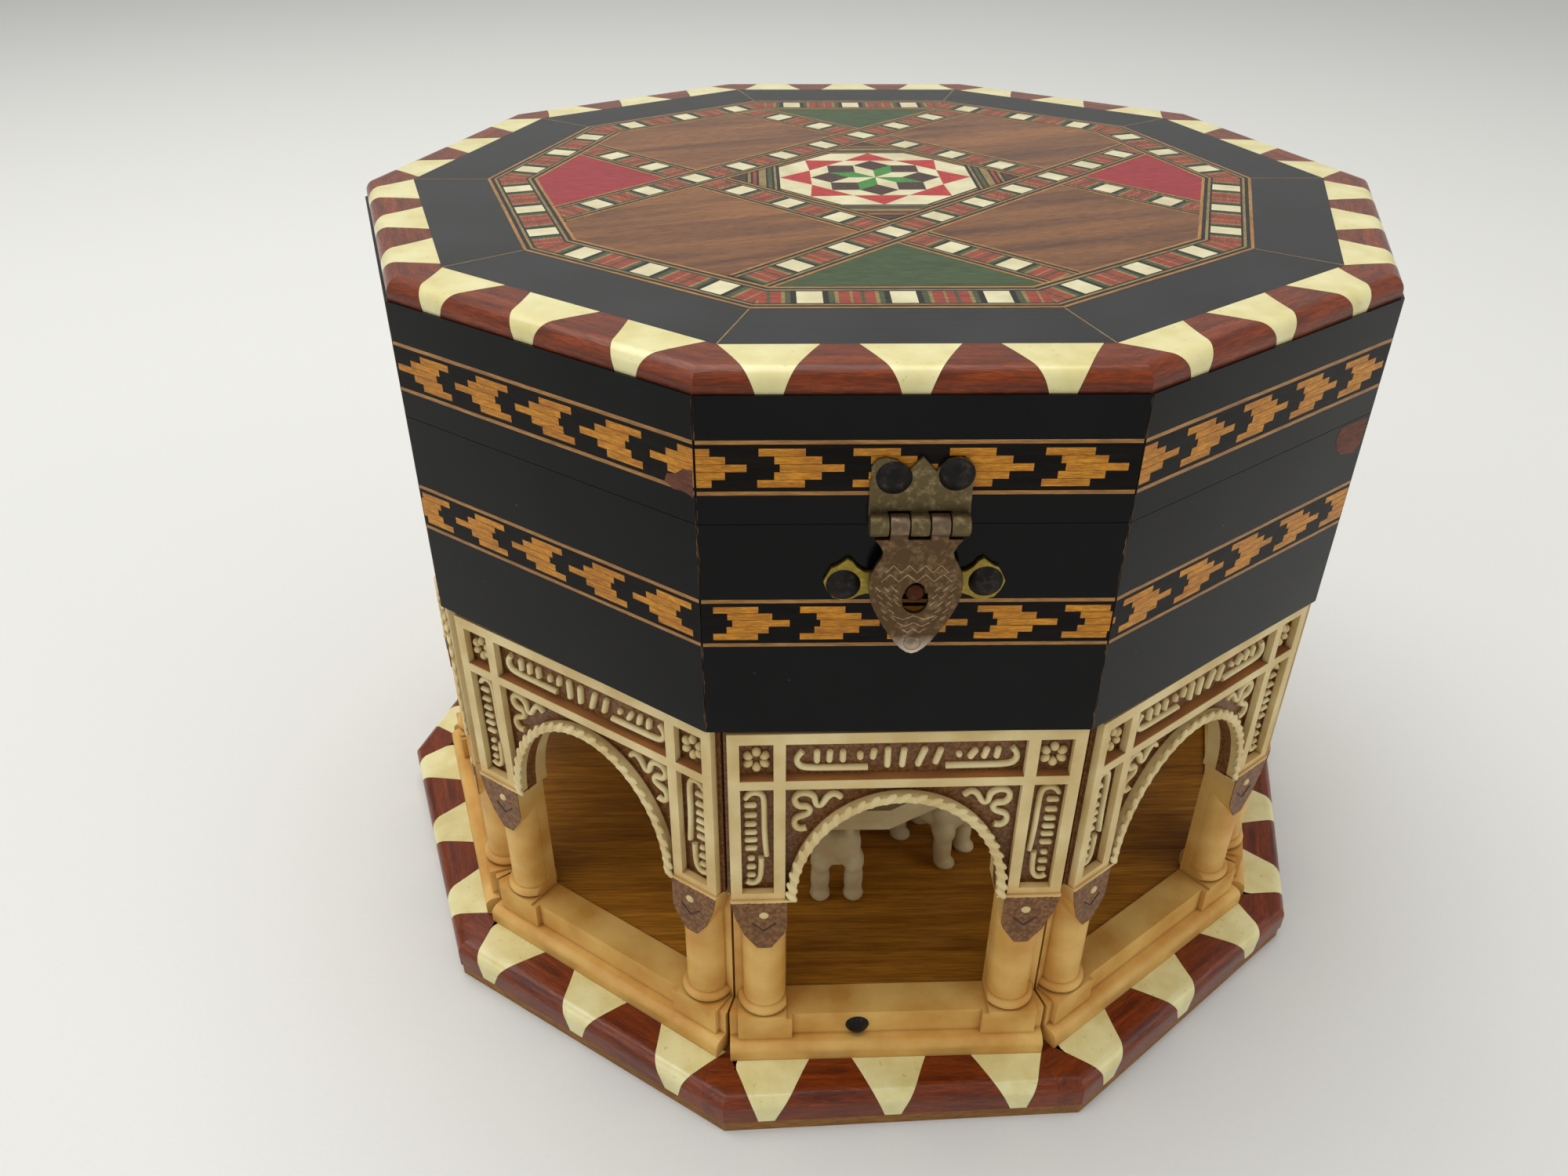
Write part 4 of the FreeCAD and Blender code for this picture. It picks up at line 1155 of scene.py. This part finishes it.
# ------------------------------------------------------------------ arcade relief
@dataclass
class ArcadeRelief:
    """Raised ornament on every arcade panel: rope arch, scrolls, flowers, hooks and bars."""

    palette: Palette
    cell_face: float = 98.0
    frame_face: float = 100.0
    arch_half: float = 18.9
    arch_rise: float = 23.9
    spring_z: float = 53.6
    rope_pitch: float = 2.7
    rope_centre_off: float = 0.8

    def build(self) -> None:
        """Build one panel's ornament and repeat it on the ten sides."""
        shape = bmesh.new()
        self._rope(shape)
        self._frieze(shape)
        self._flowers(shape)
        self._side_cells(shape)
        self._scrolls(shape)
        self._capital_marks(shape)
        self._copper_lines(shape)
        ring = repeat_round(shape, SIDES, ARCADE_TURN_DEG)
        finish_mesh("arcade_relief", ring, [self.palette["cream_relief"], self.palette["copper_wash"],
                                             self.palette["star_brown_veneer"]], "box")

    def _rope(self, shape: bmesh.types.BMesh) -> None:
        """The twisted rope round the arch."""
        half = self.arch_half + self.rope_centre_off
        rise = self.arch_rise + self.rope_centre_off
        points = [(half * math.cos(t), self.spring_z + rise * math.sin(t))
                  for t in (math.pi * i / 200 for i in range(201))]
        lengths = [0.0]
        for a, b in zip(points, points[1:]):
            lengths.append(lengths[-1] + math.dist(a, b))
        count = round(lengths[-1] / self.rope_pitch)
        lean = 0.62
        for k in range(count + 1):
            target = lengths[-1] * k / count
            i = min(max(j for j, v in enumerate(lengths) if v <= target), len(points) - 2)
            ahead, here = points[i + 1], points[i]
            slope = math.atan2(ahead[1] - here[1], ahead[0] - here[0])
            ball(shape, Vector((here[0], -(self.frame_face + 0.2), here[1])), Vector((1.7, 0.6, 0.76)),
                 Euler((0.0, -(slope + lean), 0.0)), 2)

    def _bar(self, shape: bmesh.types.BMesh, s: float, z: float, half_s: float, half_z: float,
             lean: float = 0.0) -> None:
        """A short rounded bar standing on a cell's floor."""
        radius = min(half_s, half_z)
        reach = max(half_s, half_z) - radius
        path = [(s - lean, z - reach), (s + lean, z + reach)]
        if half_s > half_z:
            path = [(s - reach, z), (s + reach, z)]
        relief_cord(shape, path, radius, self.cell_face + 0.3, 1.4)
        for end in path:
            ball(shape, Vector((end[0], -(self.cell_face + 0.3), end[1])),
                 Vector((radius, radius * 1.4, radius)))

    def _frieze(self, shape: bmesh.types.BMesh) -> None:
        """Hooked lines and upright bars in the long cell at the top."""
        hook = [(-17.9, 88.2), (-18.8, 87.2), (-19.0, 85.8), (-18.2, 84.7), (-16.6, 84.4), (-12.0, 84.35),
                (-6.5, 84.3)]
        relief_cord(shape, hook, 0.58, self.cell_face + 0.3, 1.4)
        relief_cord(shape, [(0.6 - s, z) for s, z in hook], 0.58, self.cell_face + 0.3, 1.4)
        uprights = ((-15.4, 87.0, 1.5, 0.0), (-13.2, 87.0, 1.4, 0.05), (-10.9, 87.0, 1.4, 0.0),
                    (-7.9, 87.0, 0.9, 0.0), (-5.6, 87.3, 1.2, 0.1), (-3.1, 86.5, 2.3, 0.0),
                    (-0.4, 86.4, 2.2, 0.1), (2.8, 86.5, 2.2, 0.5), (5.7, 86.6, 1.9, 0.35),
                    (9.3, 86.9, 0.65, 0.0), (11.7, 87.0, 1.2, 0.35), (13.9, 87.1, 1.3, 0.2),
                    (16.0, 87.1, 1.3, 0.1))
        for s, z, half, lean in uprights:
            self._bar(shape, s, z, 0.6, half, lean)

    def _flowers(self, shape: bmesh.types.BMesh) -> None:
        """A six-petalled flower in each square cell."""
        for sign in (-1, 1):
            for k in range(6):
                a = math.pi / 6 + math.pi * k / 3
                centre = Vector((sign * 25.9 + 1.7 * math.cos(a), -(self.cell_face + 0.3),
                                 86.5 + 1.7 * math.sin(a)))
                ball(shape, centre, Vector((1.0, 0.9, 0.85)), Euler((0.0, -a, 0.0)), 2)

    def _side_cells(self, shape: bmesh.types.BMesh) -> None:
        """Hooked lines and short bars in the upright cells."""
        upper = [(28.0, 77.5), (27.3, 78.7), (25.9, 79.0), (24.7, 78.2), (24.6, 75.0), (24.6, 68.0),
                 (24.2, 63.4)]
        lower = [(25.2, 62.8), (25.2, 58.8), (25.8, 56.6), (27.2, 56.0), (28.1, 56.8)]
        bars = ((75.8, 1.25), (73.4, 1.25), (71.2, 1.2), (69.2, 1.25), (67.3, 1.3), (65.2, 1.25),
                (62.6, 0.75), (60.4, 1.0), (58.3, 0.95))
        for sign in (-1, 1):
            for path in (upper, lower):
                relief_cord(shape, [(sign * s, z) for s, z in path], 0.58, self.cell_face + 0.3, 1.4)
            for z, half in bars:
                self._bar(shape, sign * 27.1, z, half, 0.52)

    def _scrolls(self, shape: bmesh.types.BMesh) -> None:
        """S-shaped scrolls in the two spandrels."""
        left = [(-11.0, 77.4), (-12.0, 78.6), (-13.4, 77.6), (-14.4, 75.4), (-15.5, 75.7), (-15.6, 77.6),
                (-16.9, 78.6), (-18.6, 78.5), (-19.5, 77.0), (-18.6, 75.2), (-16.6, 75.4), (-16.3, 73.9),
                (-17.6, 73.1), (-19.1, 72.6), (-19.4, 70.9), (-18.2, 69.6), (-17.0, 70.1)]
        for sign in (-1, 1):
            relief_cord(shape, [(-sign * s, z) for s, z in left], 0.6, self.cell_face + 0.3, 1.4)

    def _capital_marks(self, shape: bmesh.types.BMesh) -> None:
        """A bead on each capital, and dark raised lines that are painted shade standing for the creases
        beneath it.
        """
        face = self.frame_face + 0.35
        for sign in (-1, 1):
            s = sign * 24.85
            ball(shape, Vector((s, -face, 49.3)), Vector((0.95, 0.5, 0.9)))
            # painted shade: thin dark brown lines where the capital's creases lie in shadow
            for side in (-1, 1):
                relief_cord(shape, [(s + side * 2.2, 47.2), (s + side * 1.2, 46.2), (s, 45.0)], 0.22, face,
                            1.0, 2)

    def _copper_lines(self, shape: bmesh.types.BMesh) -> None:
        """Coppery wash on the ledges at the feet of the top cells."""
        for s0, s1 in ((-20.8, 20.8), (-28.8, -23.0), (23.0, 28.8)):
            front_block(shape, (s0, s1), (self.cell_face - 0.1, self.frame_face - 0.15), (82.5, 82.64), 1)


# ------------------------------------------------------------------ clasp
@dataclass
class Clasp:
    """The stamped brass clasp: top plate, swinging tab and catch plate."""

    palette: Palette
    centre: float = 0.6
    axis_n: float = 102.35
    axis_z: float = 135.35
    wall_n: float = 100.5
    half_w: float = 7.6
    barrels: int = 5
    barrel_r: float = 1.75
    bore_r: float = 0.86
    gap: float = 0.15
    tab_face: float = 103.4
    nail_holes: tuple[Point, ...] = ((-4.1, 7.35), (5.1, 7.85))

    def build(self) -> None:
        """Build the three pieces."""
        self._top_plate()
        self._tab()
        self._catch()

    def _sheet(self, shape: bmesh.types.BMesh, loops: Sequence[Sequence[Point]], back_n: float,
               front_n: float, round_mm: float = 0.12) -> None:
        """A flat sheet with rounded edges standing on the front side.

        Args:
            shape: mesh to add to.
            loops: outline and holes as (from the clasp's centre, above its axis) points, mm.
            back_n: distance of its back from the box's centre.
            front_n: distance of its face.
            round_mm: radius of the edges.
        """
        curve = bpy.data.curves.new("sheet", "CURVE")
        curve.dimensions = "2D"
        curve.fill_mode = "BOTH"
        curve.extrude = ((front_n - back_n) / 2 - round_mm) * MM
        curve.bevel_depth = round_mm * MM
        curve.bevel_resolution = 2
        curve.offset = -round_mm * MM
        for loop in loops:
            spline = curve.splines.new("POLY")
            spline.points.add(len(loop) - 1)
            for point, (s, z) in zip(spline.points, loop):
                point.co = ((self.centre + s) * MM, (self.axis_z + z) * MM, 0.0, 1.0)
            spline.use_cyclic_u = True
        carrier = bpy.data.objects.new("sheet", curve)
        mesh = bpy.data.meshes.new_from_object(carrier)
        mesh.transform(Matrix.Translation((0.0, -(back_n + front_n) / 2 * MM, 0.0)) @ Matrix.Rotation(
            math.pi / 2, 4, "X"))
        shape.from_mesh(mesh)
        bpy.data.objects.remove(carrier)
        bpy.data.curves.remove(curve)
        bpy.data.meshes.remove(mesh)

    def _turned(self, shape: bmesh.types.BMesh, profile: Sequence[Point], origin: Vector, axis: Vector,
                index: int) -> None:
        """A turned solid from (along the axis, radius) points.

        Args:
            shape: mesh to add to.
            profile: closed profile, mm.
            origin: a point on the axis, mm.
            axis: direction of the axis.
            index: material index.
        """
        part = bmesh.new()
        verts = [part.verts.new((origin + axis * along + Vector((0.0, 0.0, radius))) * MM)
                 for along, radius in profile]
        edges = [part.edges.new(pair) for pair in zip(verts, verts[1:] + verts[:1])]
        bmesh.ops.spin(part, geom=verts + edges, cent=origin * MM, axis=axis, angle=2 * math.pi, steps=40,
                       use_merge=True, use_duplicate=False)
        bmesh.ops.remove_doubles(part, verts=part.verts[:], dist=1e-7)
        for face in part.faces:
            face.material_index = index
        pour(part, shape)

    def _barrel(self, shape: bmesh.types.BMesh, number: int, index: int) -> None:
        """One rolled barrel with softened ends."""
        step = 2 * self.half_w / self.barrels
        start = -self.half_w + number * step + self.gap / 2
        end = start + step - self.gap
        soft, outer = 0.25, self.barrel_r
        profile = [(start, self.bore_r), (start, outer - soft), (start + soft * 0.3, outer - soft * 0.3),
                   (start + soft, outer), (end - soft, outer), (end - soft * 0.3, outer - soft * 0.3),
                   (end, outer - soft), (end, self.bore_r)]
        self._turned(shape, profile, Vector((self.centre, -self.axis_n, self.axis_z)),
                     Vector((1.0, 0.0, 0.0)), index)

    def _toothed(self, deep: float, shallow: float, others: Sequence[int]) -> list[Point]:
        """The edge at the barrels, left to right, set back where the other leaf's barrels turn."""
        step = 2 * self.half_w / self.barrels
        edge: list[Point] = []
        for number in range(self.barrels):
            clear = number in others
            x0, x1 = -self.half_w + number * step, -self.half_w + (number + 1) * step
            inset = -self.gap if clear else self.gap
            z = deep if clear else shallow
            left = x0 if number == 0 else x0 + inset
            right = x1 if number == self.barrels - 1 else x1 - inset
            edge += [(left, z), (right, z)]
        return edge

    @staticmethod
    def _circle(centre: Point, radius: float, count: int = 20) -> list[Point]:
        """Points round a circle."""
        return [(centre[0] + radius * math.cos(2 * math.pi * i / count),
                 centre[1] + radius * math.sin(2 * math.pi * i / count)) for i in range(count)]

    def _top_plate(self) -> None:
        """The crowned plate on the lid with its three barrels."""
        shape = bmesh.new()
        w, top = self.half_w, 10.55
        right = [(w, top - 4.3), (w - 0.25, top - 3.1), (w - 0.1, top - 1.5), (w - 0.9, top - 0.4),
                 (w - 2.2, top), (w - 3.9, top - 0.4), (2.05, top - 2.2), (1.1, top - 1.1), (0.0, top + 0.1)]
        outline = self._toothed(1.72, 0.85, (1, 3)) + right + [(-x, z) for x, z in reversed(right[:-1])]
        self._sheet(shape, [outline] + [self._circle(c, 0.64) for c in self.nail_holes], self.wall_n,
                    self.wall_n + 0.8)
        for number in (0, 2, 4):
            self._barrel(shape, number, 0)
        finish_mesh("hasp_plate_stamped", shape, [self.palette["olive_brass"]], "lid",
                    ("hasp_plate",), 40.0)

    def _tab(self) -> None:
        """The shield-shaped tab with its keyhole, two barrels and punched pattern."""
        shape = bmesh.new()
        side = [(6.7, -2.0), (5.9, -3.0), (5.3, -4.2), (5.5, -5.2), (6.3, -6.6), (7.0, -8.3), (7.2, -10.0),
                (7.1, -11.9), (6.7, -13.6), (6.0, -15.3), (4.9, -17.5), (3.8, -19.3), (2.8, -20.8),
                (1.9, -21.9), (0.9, -22.7), (0.0, -23.0)]
        teeth = [(max(-6.7, min(6.7, x)), z) for x, z in self._toothed(-2.0, -0.9, (0, 2, 4))]
        outline = teeth + side[1:] + [(-x, z) for x, z in reversed(side[1:-1])]
        eye = []
        for i in range(32):
            a = 2 * math.pi * i / 32
            narrow = 1.0 - 0.22 * (math.sin(a) + 1) / 2
            eye.append((2.25 * narrow * math.cos(a), -12.5 + 2.85 * math.sin(a)))
        self._sheet(shape, [outline, eye], self.tab_face - 0.9, self.tab_face)
        for number in (1, 3):
            self._barrel(shape, number, 1)
        tip = Vector((self.centre, -(self.tab_face - 0.2), self.axis_z - 20.9))
        ball(shape, tip, Vector((1.45, 0.9, 1.45)), None, 3)
        self._punching(shape)
        finish_mesh("hasp_tab_stamped", shape, [self.palette["bronze_tab"], self.palette["coppery_knuckle"],
                                                self.palette["scratched_bright"]], "hasp",
                    ("hasp_tab",), 40.0)

    def _punching(self, shape: bmesh.types.BMesh) -> None:
        """Zigzags and short strokes punched into the tab's face."""
        strokes: list[tuple[Point, Point]] = []
        for row, half in ((-6.5, 4.8), (-8.1, 5.4)):
            count = 8
            for k in range(count):
                x0, x1 = -half + 2 * half * k / count, -half + 2 * half * (k + 1) / count
                z0, z1 = (row, row - 1.3) if k % 2 else (row - 1.3, row)
                strokes.append(((x0, z0), (x1, z1)))
        for level in range(5):
            z = -10.4 - 1.35 * level
            reach = 6.2 - 0.33 * level
            for k in range(3):
                x = reach - 1.25 * k
                if x > 2.8:
                    strokes += [((x, z), (x - 0.8, z - 0.8)), ((-x, z), (-x + 0.8, z - 0.8))]
        for z, half in ((-16.4, 3.4), (-17.7, 2.6), (-18.9, 1.8)):
            strokes += [((-half, z + 0.7), (-half / 2, z)), ((-half / 2, z), (0.0, z + 0.7)),
                        ((0.0, z + 0.7), (half / 2, z)), ((half / 2, z), (half, z + 0.7))]
        for a, b in strokes:
            path = [(self.centre + x, self.axis_z + z) for x, z in (a, b)]
            relief_cord(shape, path, 0.1, self.tab_face - 0.02, 0.7, 2)

    def _catch(self) -> None:
        """The leaf-ended catch plate with its stud."""
        shape = bmesh.new()
        above = [(5.0, 1.9), (7.8, 2.1), (8.9, 2.9), (9.6, 3.9), (10.4, 4.4), (11.1, 3.8), (12.0, 3.1),
                 (12.9, 2.7), (13.5, 1.6), (14.1, 0.3)]
        below = [(13.5, -1.4), (12.6, -2.6), (11.2, -3.1), (9.6, -2.9), (8.6, -2.3), (7.4, -1.9), (5.0, -1.9)]
        level = -11.05
        right = [(x, z + level) for x, z in above + below]
        outline = right + [(-x, z) for x, z in reversed(right)]
        holes = [self._circle((-11.0, -11.25), 0.64), self._circle((11.0, -10.75), 0.64)]
        self._sheet(shape, [outline] + holes, self.wall_n, self.wall_n + 0.8)
        stud = [(0.0, 0.0), (0.0, 1.55), (1.7, 1.55), (1.9, 1.4), (2.0, 1.1), (2.0, 0.0)]
        self._turned(shape, stud, Vector((self.centre, -(self.wall_n + 0.4), self.axis_z - 11.9)),
                     Vector((0.0, -1.0, 0.0)), 1)
        finish_mesh("catch_plate_stamped", shape,
                    [self.palette["yellow_brass"], self.palette["stud_copper"]], "box",
                    ("catch_plate",), 40.0)


@dataclass
class Chips:
    """Two places where the black veneer has chipped off and bare wood shows."""

    palette: Palette
    wall_n: float = 100.5

    def build(self) -> None:
        """Build the chips as thin ragged skins."""
        lower = [(23.4, 133.9), (22.8, 131.8), (23.9, 129.6), (25.6, 128.2), (27.9, 127.6), (30.2, 127.2),
                 (31.6, 128.4), (32.0, 131.0), (31.8, 133.9)]
        upper = [(32.3, 143.6), (30.4, 143.2), (28.9, 142.0), (27.3, 141.6), (26.8, 140.2), (28.4, 139.3),
                 (30.6, 139.5), (32.3, 138.9)]
        for name, body, side, corners in (("body_veneer_chip", "box", 1, lower),
                                          ("lid_veneer_chip", "lid", -1, upper)):
            shape = bmesh.new()
            loop = [shape.verts.new(Vector((s, -(self.wall_n + 0.04), z)) * MM) for s, z in corners]
            shape.faces.new(loop)
            bmesh.ops.rotate(shape, verts=shape.verts[:], cent=(0.0, 0.0, 0.0),
                             matrix=Matrix.Rotation(side * 2 * HALF_SIDE, 3, "Z"))
            out = Matrix.Rotation(side * 2 * HALF_SIDE, 3, "Z") @ Vector((0.0, 1.0, 0.0))
            made = bmesh.ops.extrude_face_region(shape, geom=shape.faces[:])
            bmesh.ops.translate(shape, vec=out * 0.1 * MM,
                                verts=[g for g in made["geom"] if isinstance(g, bmesh.types.BMVert)])
            finish_mesh(name, shape, [self.palette["chipped_veneer"]], body)


# ------------------------------------------------------------------ fountain
@dataclass
class Fountain:
    """Moulded lions in a ring under a twelve-cornered basin."""

    palette: Palette
    centre: Point = (-7.0, -29.0)
    floor_mm: float = 19.0
    ring_mm: float = 42.0
    voxel_mm: float = 0.55

    def build(self) -> None:
        """Build the lions."""
        one = bmesh.new()
        y = -self.ring_mm
        z = self.floor_mm
        for sign in (-1, 1):
            for back in (0.0, 13.2):
                ball(one, Vector((sign * 3.7, y + 3.4 + back, z + 5.2)), Vector((2.2, 2.2, 6.4)), None, 3)
                ball(one, Vector((sign * 3.7, y + 2.6 + back, z + 1.3)), Vector((2.4, 2.7, 1.3)), None, 3)
            ball(one, Vector((sign * 3.6, y + 3.6, z + 10.4)), Vector((2.4, 3.0, 3.6)), None, 3)
            ball(one, Vector((sign * 3.4, y + 16.2, z + 11.0)), Vector((2.6, 3.6, 4.2)), None, 3)
            ball(one, Vector((sign * 2.6, y + 3.9, z + 19.2)), Vector((1.1, 0.9, 1.3)))
        ball(one, Vector((0.0, y + 10.2, z + 12.6)), Vector((5.4, 9.6, 4.6)), None, 3)
        ball(one, Vector((0.0, y + 4.6, z + 14.6)), Vector((5.3, 4.2, 5.2)), None, 3)
        ball(one, Vector((0.0, y + 3.2, z + 15.8)), Vector((3.6, 2.9, 3.8)), None, 3)
        ball(one, Vector((0.0, y + 1.3, z + 14.6)), Vector((2.0, 1.2, 1.7)), None, 3)
        mesh = bpy.data.meshes.new("lion")
        one.to_mesh(mesh)
        one.free()
        carrier = bpy.data.objects.new("lion", mesh)
        bpy.context.scene.collection.objects.link(carrier)
        remesh = carrier.modifiers.new("skin", "REMESH")
        remesh.mode = "VOXEL"
        remesh.voxel_size = self.voxel_mm * MM
        soften = carrier.modifiers.new("soften", "SMOOTH")
        soften.iterations = 3
        soften.factor = 0.5
        graph = bpy.context.evaluated_depsgraph_get()
        skin = bpy.data.meshes.new_from_object(carrier.evaluated_get(graph))
        shape = bmesh.new()
        shape.from_mesh(skin)
        for face in shape.faces:
            face.smooth = True
        bpy.data.objects.remove(carrier)
        bpy.data.meshes.remove(mesh)
        bpy.data.meshes.remove(skin)
        ring = repeat_round(shape, 8, 0.0, Vector((*self.centre, 0.0)) * MM)
        finish_mesh("fountain_lions_moulded", ring, [self.palette["fountain_resin"]], "box",
                    ("fountain_lions",), 60.0)


# ------------------------------------------------------------------ studio
@dataclass
class Studio:
    """Pale seamless paper, soft overhead light and the camera."""

    lens_mm: float = 27.735
    place_mm: tuple[float, float, float] = (-22.17, -257.14, 226.22)
    pitch_deg: float = 33.37
    yaw_deg: float = 0.969
    roll_deg: float = 0.195

    def build(self) -> None:
        """Build the floor, the lights and the camera."""
        self._paper()
        self._lights()
        self._camera()
        view = bpy.context.scene.view_settings
        view.view_transform = "Standard"
        view.look = "None"

    def _paper(self) -> None:
        """A floor that curves up into a backdrop."""
        material, tree, shader = start_material("pale_paper")
        place = add_node(tree, "ShaderNodeTexCoord").outputs["Object"]
        tooth = noise(tree, place, 900.0, 2.0)
        tree.links.new(mix_colour(tree, tooth, linear("E2E2DF"), linear("E6E6E3")),
                       shader.inputs["Base Color"])
        shader.inputs["Roughness"].default_value = 0.85
        shape = bmesh.new()
        rows = []
        depth, sweep, reach, top = 1.6, 0.5, 9.0, 3.0
        turns = [math.radians(9 * i) for i in range(1, 11)]
        section = [(-reach, 0.0), (depth, 0.0)]
        section += [(depth + sweep * math.sin(a), sweep - sweep * math.cos(a)) for a in turns]
        section.append((depth + sweep, top))
        for y, z in section:
            rows.append([shape.verts.new((x, y, z)) for x in (-reach, reach)])
        for low, high in zip(rows, rows[1:]):
            face = shape.faces.new((low[0], low[1], high[1], high[0]))
            face.smooth = True
        mesh = bpy.data.meshes.new("paper")
        shape.to_mesh(mesh)
        shape.free()
        mesh.materials.append(material)
        paper = bpy.data.objects.new("paper", mesh)
        bpy.context.scene.collection.objects.link(paper)

    def _light(self, name: str, place: Vector, size: float, power: float, colour: str, aim: Vector) -> None:
        """Add a soft square light that looks at a point."""
        lamp = bpy.data.lights.new(name, "AREA")
        lamp.shape = "SQUARE"
        lamp.size = size
        lamp.energy = power
        lamp.color = linear(colour)[:3]
        holder = bpy.data.objects.new(name, lamp)
        holder.location = place
        holder.rotation_euler = (aim - place).to_track_quat("-Z", "Y").to_euler()
        bpy.context.scene.collection.objects.link(holder)

    def _lights(self) -> None:
        """Broad soft light from above and both sides."""
        aim = Vector((0.0, 0.0, 0.08))
        self._light("overhead", Vector((-0.25, 0.25, 1.3)), 1.2, 12.4, "FFFDF8", aim)
        self._light("left_window", Vector((-1.2, -0.7, 0.9)), 0.9, 3.2, "FFFFFF", aim)
        self._light("right_fill", Vector((1.3, -0.6, 0.7)), 0.9, 3.2, "FFFAF2", aim)
        world = bpy.data.worlds.new("room")
        bpy.context.scene.world = world
        world.use_nodes = True
        back = world.node_tree.nodes["Background"]
        back.inputs[0].default_value = linear("F2F3F5")
        back.inputs[1].default_value = 0.56

    def _camera(self) -> None:
        """The camera, as fitted."""
        lens = bpy.data.cameras.new("camera")
        lens.lens = self.lens_mm
        lens.sensor_width = 36.0
        lens.clip_start = 0.01
        holder = bpy.data.objects.new("camera", lens)
        pitch, yaw, roll = (math.radians(v) for v in (self.pitch_deg, self.yaw_deg, self.roll_deg))
        turn = Matrix.Rotation(-yaw, 3, "Z") @ Matrix.Rotation(math.pi / 2 - pitch, 3, "X") @ Matrix.Rotation(
            roll, 3, "Z")
        holder.location = Vector(self.place_mm) * MM
        holder.rotation_euler = turn.to_euler()
        bpy.context.scene.collection.objects.link(holder)
        bpy.context.scene.camera = holder


def main() -> None:
    """Build the whole scene in order."""
    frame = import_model()
    Studio().build()
    palette = Palette()
    palette.build()
    Carcass(palette, frame["nodes"]).dress()
    RimInlay(palette, "base_rim", "box", 112.2, 10.2, 24.7, 16.4, 3.4, 2.5, -2.2, 0.06).build()
    RimInlay(palette, "lid_rim", "lid", 100.0, 9.64, 20.8, 15.1, 4.1, shift_mm=-0.9).build()
    MosaicBand(palette, "body_band", "body_inlay_bands", "box").build()
    MosaicBand(palette, "lid_band", "lid_inlay_bands", "lid", phase_mm=4.55).build()
    LidMarquetry(palette).build()
    ArcadeRelief(palette).build()
    Clasp(palette).build()
    Chips(palette).build()
    Fountain(palette).build()


if __name__ == "__main__":
    logging.basicConfig(level=logging.INFO, format="%(message)s")
    main()
